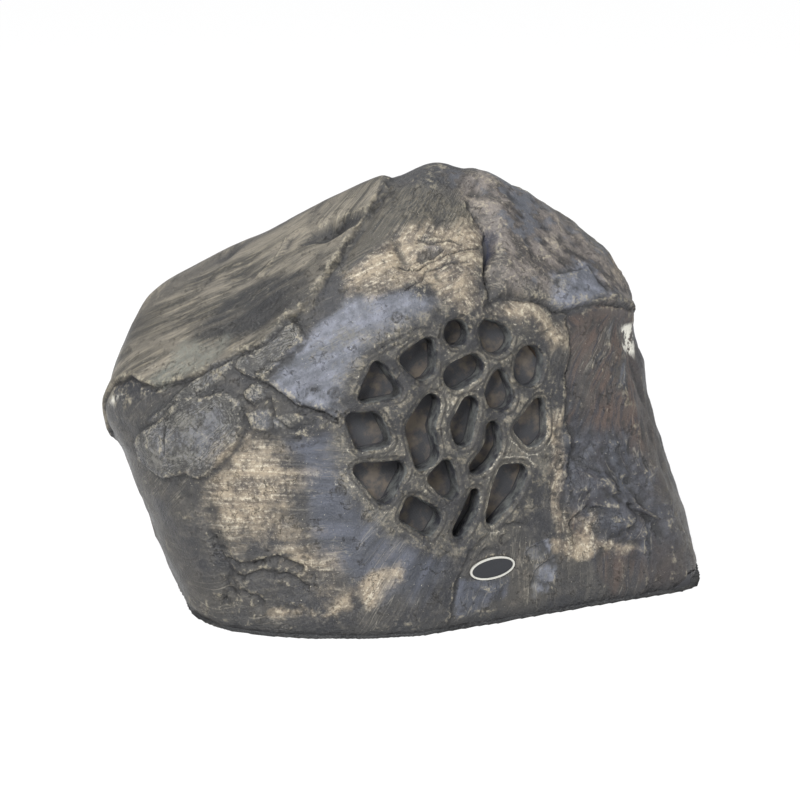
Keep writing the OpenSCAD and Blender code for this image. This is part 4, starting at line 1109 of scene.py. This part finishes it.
# Each group's CAD nodes, and the record's slot that each takes its finish from
PARTS = {
    "grille": {"grille_cloth": "cloth", "spacer_ring": "spacer"},
    "badge": {"badge": "badge"},
    "driver": {
        "driver_gasket": "foam_rubber", "basket": "basket_steel", "surround": "butyl",
        "cone": "cone", "spider": "spider", "voice_coil_former": "former",
        "voice_coil": "winding", "top_plate": "plated_steel", "magnet": "ferrite",
        "pole_plate": "plated_steel", "tweeter_post": "plated_steel",
        "tweeter_housing": "tweeter_plastic", "tweeter_faceplate": "tweeter_plastic",
        "tweeter_dome": "dome", "post_nut": "plated_steel", "terminal_strip": "phenolic",
        "driver_screws": "screw_steel"},
    "base": {
        "base_plate": "base_plastic", "base_gasket": "foam_rubber", "base_screws": "screw_steel",
        "crossover_board": "board", "board_screws": "screw_steel", "bass_inductor": "winding",
        "treble_inductor": "winding", "capacitors": "capacitor", "resistor": "resistor",
        "terminal_block": "terminal_plastic"},
    "gland": {
        "gland_body": "gland_plastic", "gland_cap": "gland_plastic",
        "gland_grommet": "gland_rubber", "gland_washer": "gland_rubber",
        "gland_locknut": "gland_plastic"},
}
# The driver's two rings that flex when the cone moves, with the sectors each is cut in
FLEXING = {"surround": 24, "spider": 16}


def badge_plate():
    """Satin badge: a pale raised rim round a dark blank field."""
    k = Painter("pressed_badge_with_dark_field")
    right, up, _ = badge_axes()
    offset = add_node(k.tree, "ShaderNodeVectorMath", {0: k.place, 1: tuple(BADGE_MIDDLE * MM)},
                      operation="SUBTRACT").outputs[0]
    parts = []
    for axis, half in ((right, BADGE_FIELD[0] / 2), (up, BADGE_FIELD[1] / 2)):
        dot = add_node(k.tree, "ShaderNodeVectorMath", {0: offset, 1: tuple(axis)},
                       operation="DOT_PRODUCT").outputs["Value"]
        parts.append(k.math("POWER", k.math("MULTIPLY", dot, 1 / (half * MM)), 2.0))
    oval = k.math("ADD", parts[0], parts[1])
    grain = k.grain(1.2, 3)
    rim = k.mix(grain, "#c9c8c0", "#a3a19a")
    field = k.mix(grain, "#15161a", "#22242a")
    return k.finish(k.mix(k.band(oval, 0.97, 1.03), field, rim), 0.38, grain, 0.05, 0.4)


# Slots whose surface is more than a plain one, and the materials made so far
PATTERNS = {"cloth": woven_cloth, "badge": badge_plate, "winding": wound_wire}
made_finishes = {}


def finish_of(slot):
    """The material of a slot, made once."""
    if slot not in made_finishes:
        made_finishes[slot] = PATTERNS[slot]() if slot in PATTERNS else even_finish(*FINISHES[slot])
    return made_finishes[slot]


def finish_group(group):
    """Gives a group's nodes their finishes; they keep the shape that the CAD has."""
    for node, slot in PARTS[group].items():
        if node in FLEXING:
            continue
        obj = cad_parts[node]
        for place in obj.material_slots:
            place.link = "OBJECT"
            place.material = finish_of(slot)


def flexing_sectors(node, count):
    """Cuts a flexing ring in sectors, each a piece of its own."""
    mesh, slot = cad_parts[node].data, PARTS["driver"][node]
    points, faces = vertices_of(mesh), triangles_of(mesh)
    right = np.cross(GRILLE_AXIS, (0.0, 0.0, 1.0))
    right /= np.linalg.norm(right)
    up = np.cross(right, GRILLE_AXIS)
    plane = np.stack([right, up])
    middle = ((points @ plane.T).min(axis=0) + (points @ plane.T).max(axis=0)) / 2
    flat = points @ plane.T - middle
    turn = np.arctan2(*flat[faces].mean(axis=1).T[::-1]) / (2 * np.pi) % 1
    for k in range(count):
        mesh = mesh_from(node, *picked(points, faces[(turn * count).astype(int) == k])[:2])
        piece = object_from(f"{node}_sector_{k + 1:02d}", mesh, None)
        piece.data.materials.append(finish_of(slot))
        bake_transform(piece)
        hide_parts(node)


# ---------------------------------------------------------------- stage

# Half the floor's width in mm; each area light's width and place, and what they all aim at, in m
FLOOR_REACH = 4000.0
LIGHTS = {"key": (1.2, (-1.7, -1.3, 1.9)), "fill": (1.6, (1.4, -2.0, 0.9)),
          "top": (1.6, (-0.2, 0.9, 2.2))}
LIGHT_AIM = Vector((0, 0, 0.15))
# Width in mm of the film behind the camera's lens
FILM_WIDTH = 36.0


def make_floor():
    """A pale floor that runs to the horizon and keeps the rock's shadow."""
    corners = np.array([[-1, -1, 0], [1, -1, 0], [1, 1, 0], [-1, 1, 0]]) * FLOOR_REACH
    mesh = mesh_from("floor", corners, np.array([[0, 1, 2], [0, 2, 3]]))
    floor = bpy.data.objects.new("floor", mesh)
    bpy.context.collection.objects.link(floor)
    k = Painter("matt_white_paper")
    rays = add_node(k.tree, "ShaderNodeLightPath")
    k.finish("#e4e4e4", 0.95)
    glow = add_node(k.tree, "ShaderNodeEmission", {"Color": linear("#ffffff"), "Strength": 1.07})
    seen = k.math("MULTIPLY", rays.outputs["Is Camera Ray"], 0.88)
    both = add_node(k.tree, "ShaderNodeMixShader",
                    {0: seen, 1: k.shader.outputs[0], 2: glow.outputs[0]})
    k.tree.links.new(both.outputs[0], k.tree.nodes["Material Output"].inputs["Surface"])
    floor.data.materials.append(k.material)


def make_lights(props):
    """A pale sky from all round, a soft key from the upper left, a fill and a top light."""
    world = bpy.data.worlds.new("studio")
    bpy.context.scene.world = world
    world.use_nodes = True
    tree = world.node_tree
    tree.nodes.clear()
    rays = add_node(tree, "ShaderNodeLightPath")
    soft = add_node(tree, "ShaderNodeBackground",
                    {"Color": linear("#f4f6fa"), "Strength": props.sky})
    white = add_node(tree, "ShaderNodeBackground", {"Color": linear("#ffffff"), "Strength": 1.0})
    mix = add_node(tree, "ShaderNodeMixShader", {0: rays.outputs["Is Camera Ray"],
                                                 1: soft.outputs[0], 2: white.outputs[0]})
    add_node(tree, "ShaderNodeOutputWorld", {"Surface": mix.outputs[0]})
    for name, (size, place) in LIGHTS.items():
        data = bpy.data.lights.new(name, "AREA")
        data.energy, data.size = getattr(props, name), size
        lamp = bpy.data.objects.new(name, data)
        lamp.location = place
        lamp.rotation_euler = (LIGHT_AIM - lamp.location).to_track_quat("-Z", "Y").to_euler()
        bpy.context.collection.objects.link(lamp)


def make_camera(props):
    """The photograph's camera, held level."""
    data = bpy.data.cameras.new("photo")
    data.lens, data.sensor_width, data.shift_y = props.lens, FILM_WIDTH, props.shift
    camera = bpy.data.objects.new("photo", data)
    out = direction(VIEW_AZIMUTH, VIEW_ELEVATION)
    camera.location = (VIEW_AIM + props.distance / MM * out) * MM
    camera.rotation_euler = Vector(-out).to_track_quat("-Z", "Y").to_euler()
    bpy.context.collection.objects.link(camera)
    bpy.context.scene.camera = camera


# ---------------------------------------------------------------- add-on

class BoulderForm(bpy.types.PropertyGroup):
    """How the rock is carved."""
    voxel: FloatProperty(name="Carving grid", description="Cell size of the grid that is carved",
                         default=VOXEL * MM, unit="LENGTH", subtype="DISTANCE")
    relief: FloatProperty(name="Relief", description="How strongly the carved features stand out",
                          default=1.0, subtype="FACTOR")
    faces: IntProperty(name="Triangles", description="Most triangles that the carved rock keeps",
                       default=MOST_FACES)


class BoulderPaint(bpy.types.PropertyGroup):
    """How the rock is painted."""
    tan: FloatProperty(name="Tan brushing", description="How much tan dry brushing covers the rock",
                       default=0.85, subtype="FACTOR")
    gloss: FloatProperty(name="Roughness", description="Roughness of the rock's smoothest paint",
                         default=0.34, subtype="FACTOR")


class BoulderStage(bpy.types.PropertyGroup):
    """Camera and lights."""
    lens: FloatProperty(name="Lens", description="Focal length in mm of the photograph's camera",
                        default=VIEW_LENS, unit="CAMERA")
    shift: FloatProperty(name="Shift", description="Upward shift that frames the photograph",
                         default=VIEW_SHIFT, subtype="FACTOR")
    distance: FloatProperty(name="Distance", description="How far the camera stands from its aim",
                            default=VIEW_DISTANCE * MM, unit="LENGTH", subtype="DISTANCE")
    sky: FloatProperty(name="Sky", description="Strength of the pale light from all round",
                       default=0.46, subtype="FACTOR")
    key: FloatProperty(name="Key", description="Power of the upper left light in watts",
                       default=84.0, subtype="POWER")
    fill: FloatProperty(name="Fill", description="Power of the right front light in watts",
                        default=18.0, subtype="POWER")
    top: FloatProperty(name="Top", description="Power of the light from above in watts",
                       default=22.0, subtype="POWER")


class BOULDER_OT_rock(bpy.types.Operator):
    """Carve and paint the rock, and put it in place of the CAD's shell"""
    bl_idname = "boulder.rock"
    bl_label = "Rock"

    def execute(self, context):
        props = context.scene.boulder_form
        points, faces = carved_rock(props)
        mesh = thinned("rock", points, faces, props.faces)
        mesh.polygons.foreach_set("use_smooth", np.ones(len(mesh.polygons), bool))
        paint_masks(mesh)
        rock = object_from("rock", mesh)
        paint = rock_paint(context.scene.boulder_paint)
        rock.data.materials.append(paint)
        lining = object_from("rock_lining", lining_mesh())
        lining.data.materials.append(even_finish("moulded_resin", "#3a3a3c", "#46464a", 6.0, 0.7))
        for piece in (rock, lining):
            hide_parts("rock_shell")
        return {"FINISHED"}


class BOULDER_OT_grille(bpy.types.Operator):
    """Give the cloth and the ring behind the openings their finishes"""
    bl_idname = "boulder.grille"
    bl_label = "Grille cloth"

    def execute(self, context):
        finish_group("grille")
        return {"FINISHED"}


class BOULDER_OT_badge(bpy.types.Operator):
    """Give the blank badge its pale rim and dark field"""
    bl_idname = "boulder.badge"
    bl_label = "Badge"

    def execute(self, context):
        finish_group("badge")
        return {"FINISHED"}


class BOULDER_OT_driver(bpy.types.Operator):
    """Give the driver's parts their finishes"""
    bl_idname = "boulder.driver"
    bl_label = "Driver"

    def execute(self, context):
        finish_group("driver")
        for node, count in FLEXING.items():
            flexing_sectors(node, count)
        return {"FINISHED"}


class BOULDER_OT_base(bpy.types.Operator):
    """Give the base plate and the crossover on it their finishes"""
    bl_idname = "boulder.base"
    bl_label = "Base and crossover"

    def execute(self, context):
        finish_group("base")
        return {"FINISHED"}


class BOULDER_OT_gland(bpy.types.Operator):
    """Give the cable gland its finishes"""
    bl_idname = "boulder.gland"
    bl_label = "Cable gland"

    def execute(self, context):
        finish_group("gland")
        return {"FINISHED"}


class BOULDER_OT_stage(bpy.types.Operator):
    """Set the floor, the lights and the photograph's camera"""
    bl_idname = "boulder.stage"
    bl_label = "Stage"

    def execute(self, context):
        props = context.scene.boulder_stage
        make_floor()
        make_lights(props)
        make_camera(props)
        return {"FINISHED"}


class BOULDER_PT_panel(bpy.types.Panel):
    """Sidebar panel with every property and step"""
    bl_idname = "BOULDER_PT_panel"
    bl_label = "Boulder speaker"
    bl_space_type = "VIEW_3D"
    bl_region_type = "UI"
    bl_category = "Boulder"

    def draw(self, context):
        scene = context.scene
        for title, props in (("Form", scene.boulder_form), ("Paint", scene.boulder_paint),
                             ("Stage", scene.boulder_stage)):
            box = self.layout.box()
            box.label(text=title)
            for name in props.__annotations__:
                box.prop(props, name)
        for step in STEPS:
            self.layout.operator(step.bl_idname)


GROUPS = {"boulder_form": BoulderForm, "boulder_paint": BoulderPaint, "boulder_stage": BoulderStage}
STEPS = (BOULDER_OT_rock, BOULDER_OT_grille, BOULDER_OT_badge, BOULDER_OT_driver, BOULDER_OT_base,
         BOULDER_OT_gland, BOULDER_OT_stage)


def register():
    """Adds the property groups, operators and panel."""
    for kind in (*GROUPS.values(), *STEPS, BOULDER_PT_panel):
        bpy.utils.register_class(kind)
    for name, kind in GROUPS.items():
        setattr(bpy.types.Scene, name, PointerProperty(type=kind))


def unregister():
    """Takes them all away again."""
    for name in GROUPS:
        delattr(bpy.types.Scene, name)
    for kind in reversed((*GROUPS.values(), *STEPS, BOULDER_PT_panel)):
        bpy.utils.unregister_class(kind)


def main():
    """Dresses the CAD in the steps' order."""
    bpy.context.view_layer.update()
    register()
    bpy.context.scene.view_settings.view_transform = "Standard"
    bpy.ops.boulder.rock()
    bpy.ops.boulder.grille()
    bpy.ops.boulder.badge()
    bpy.ops.boulder.driver()
    bpy.ops.boulder.base()
    bpy.ops.boulder.gland()
    bpy.ops.boulder.stage()


if __name__ == "__main__":
    main()
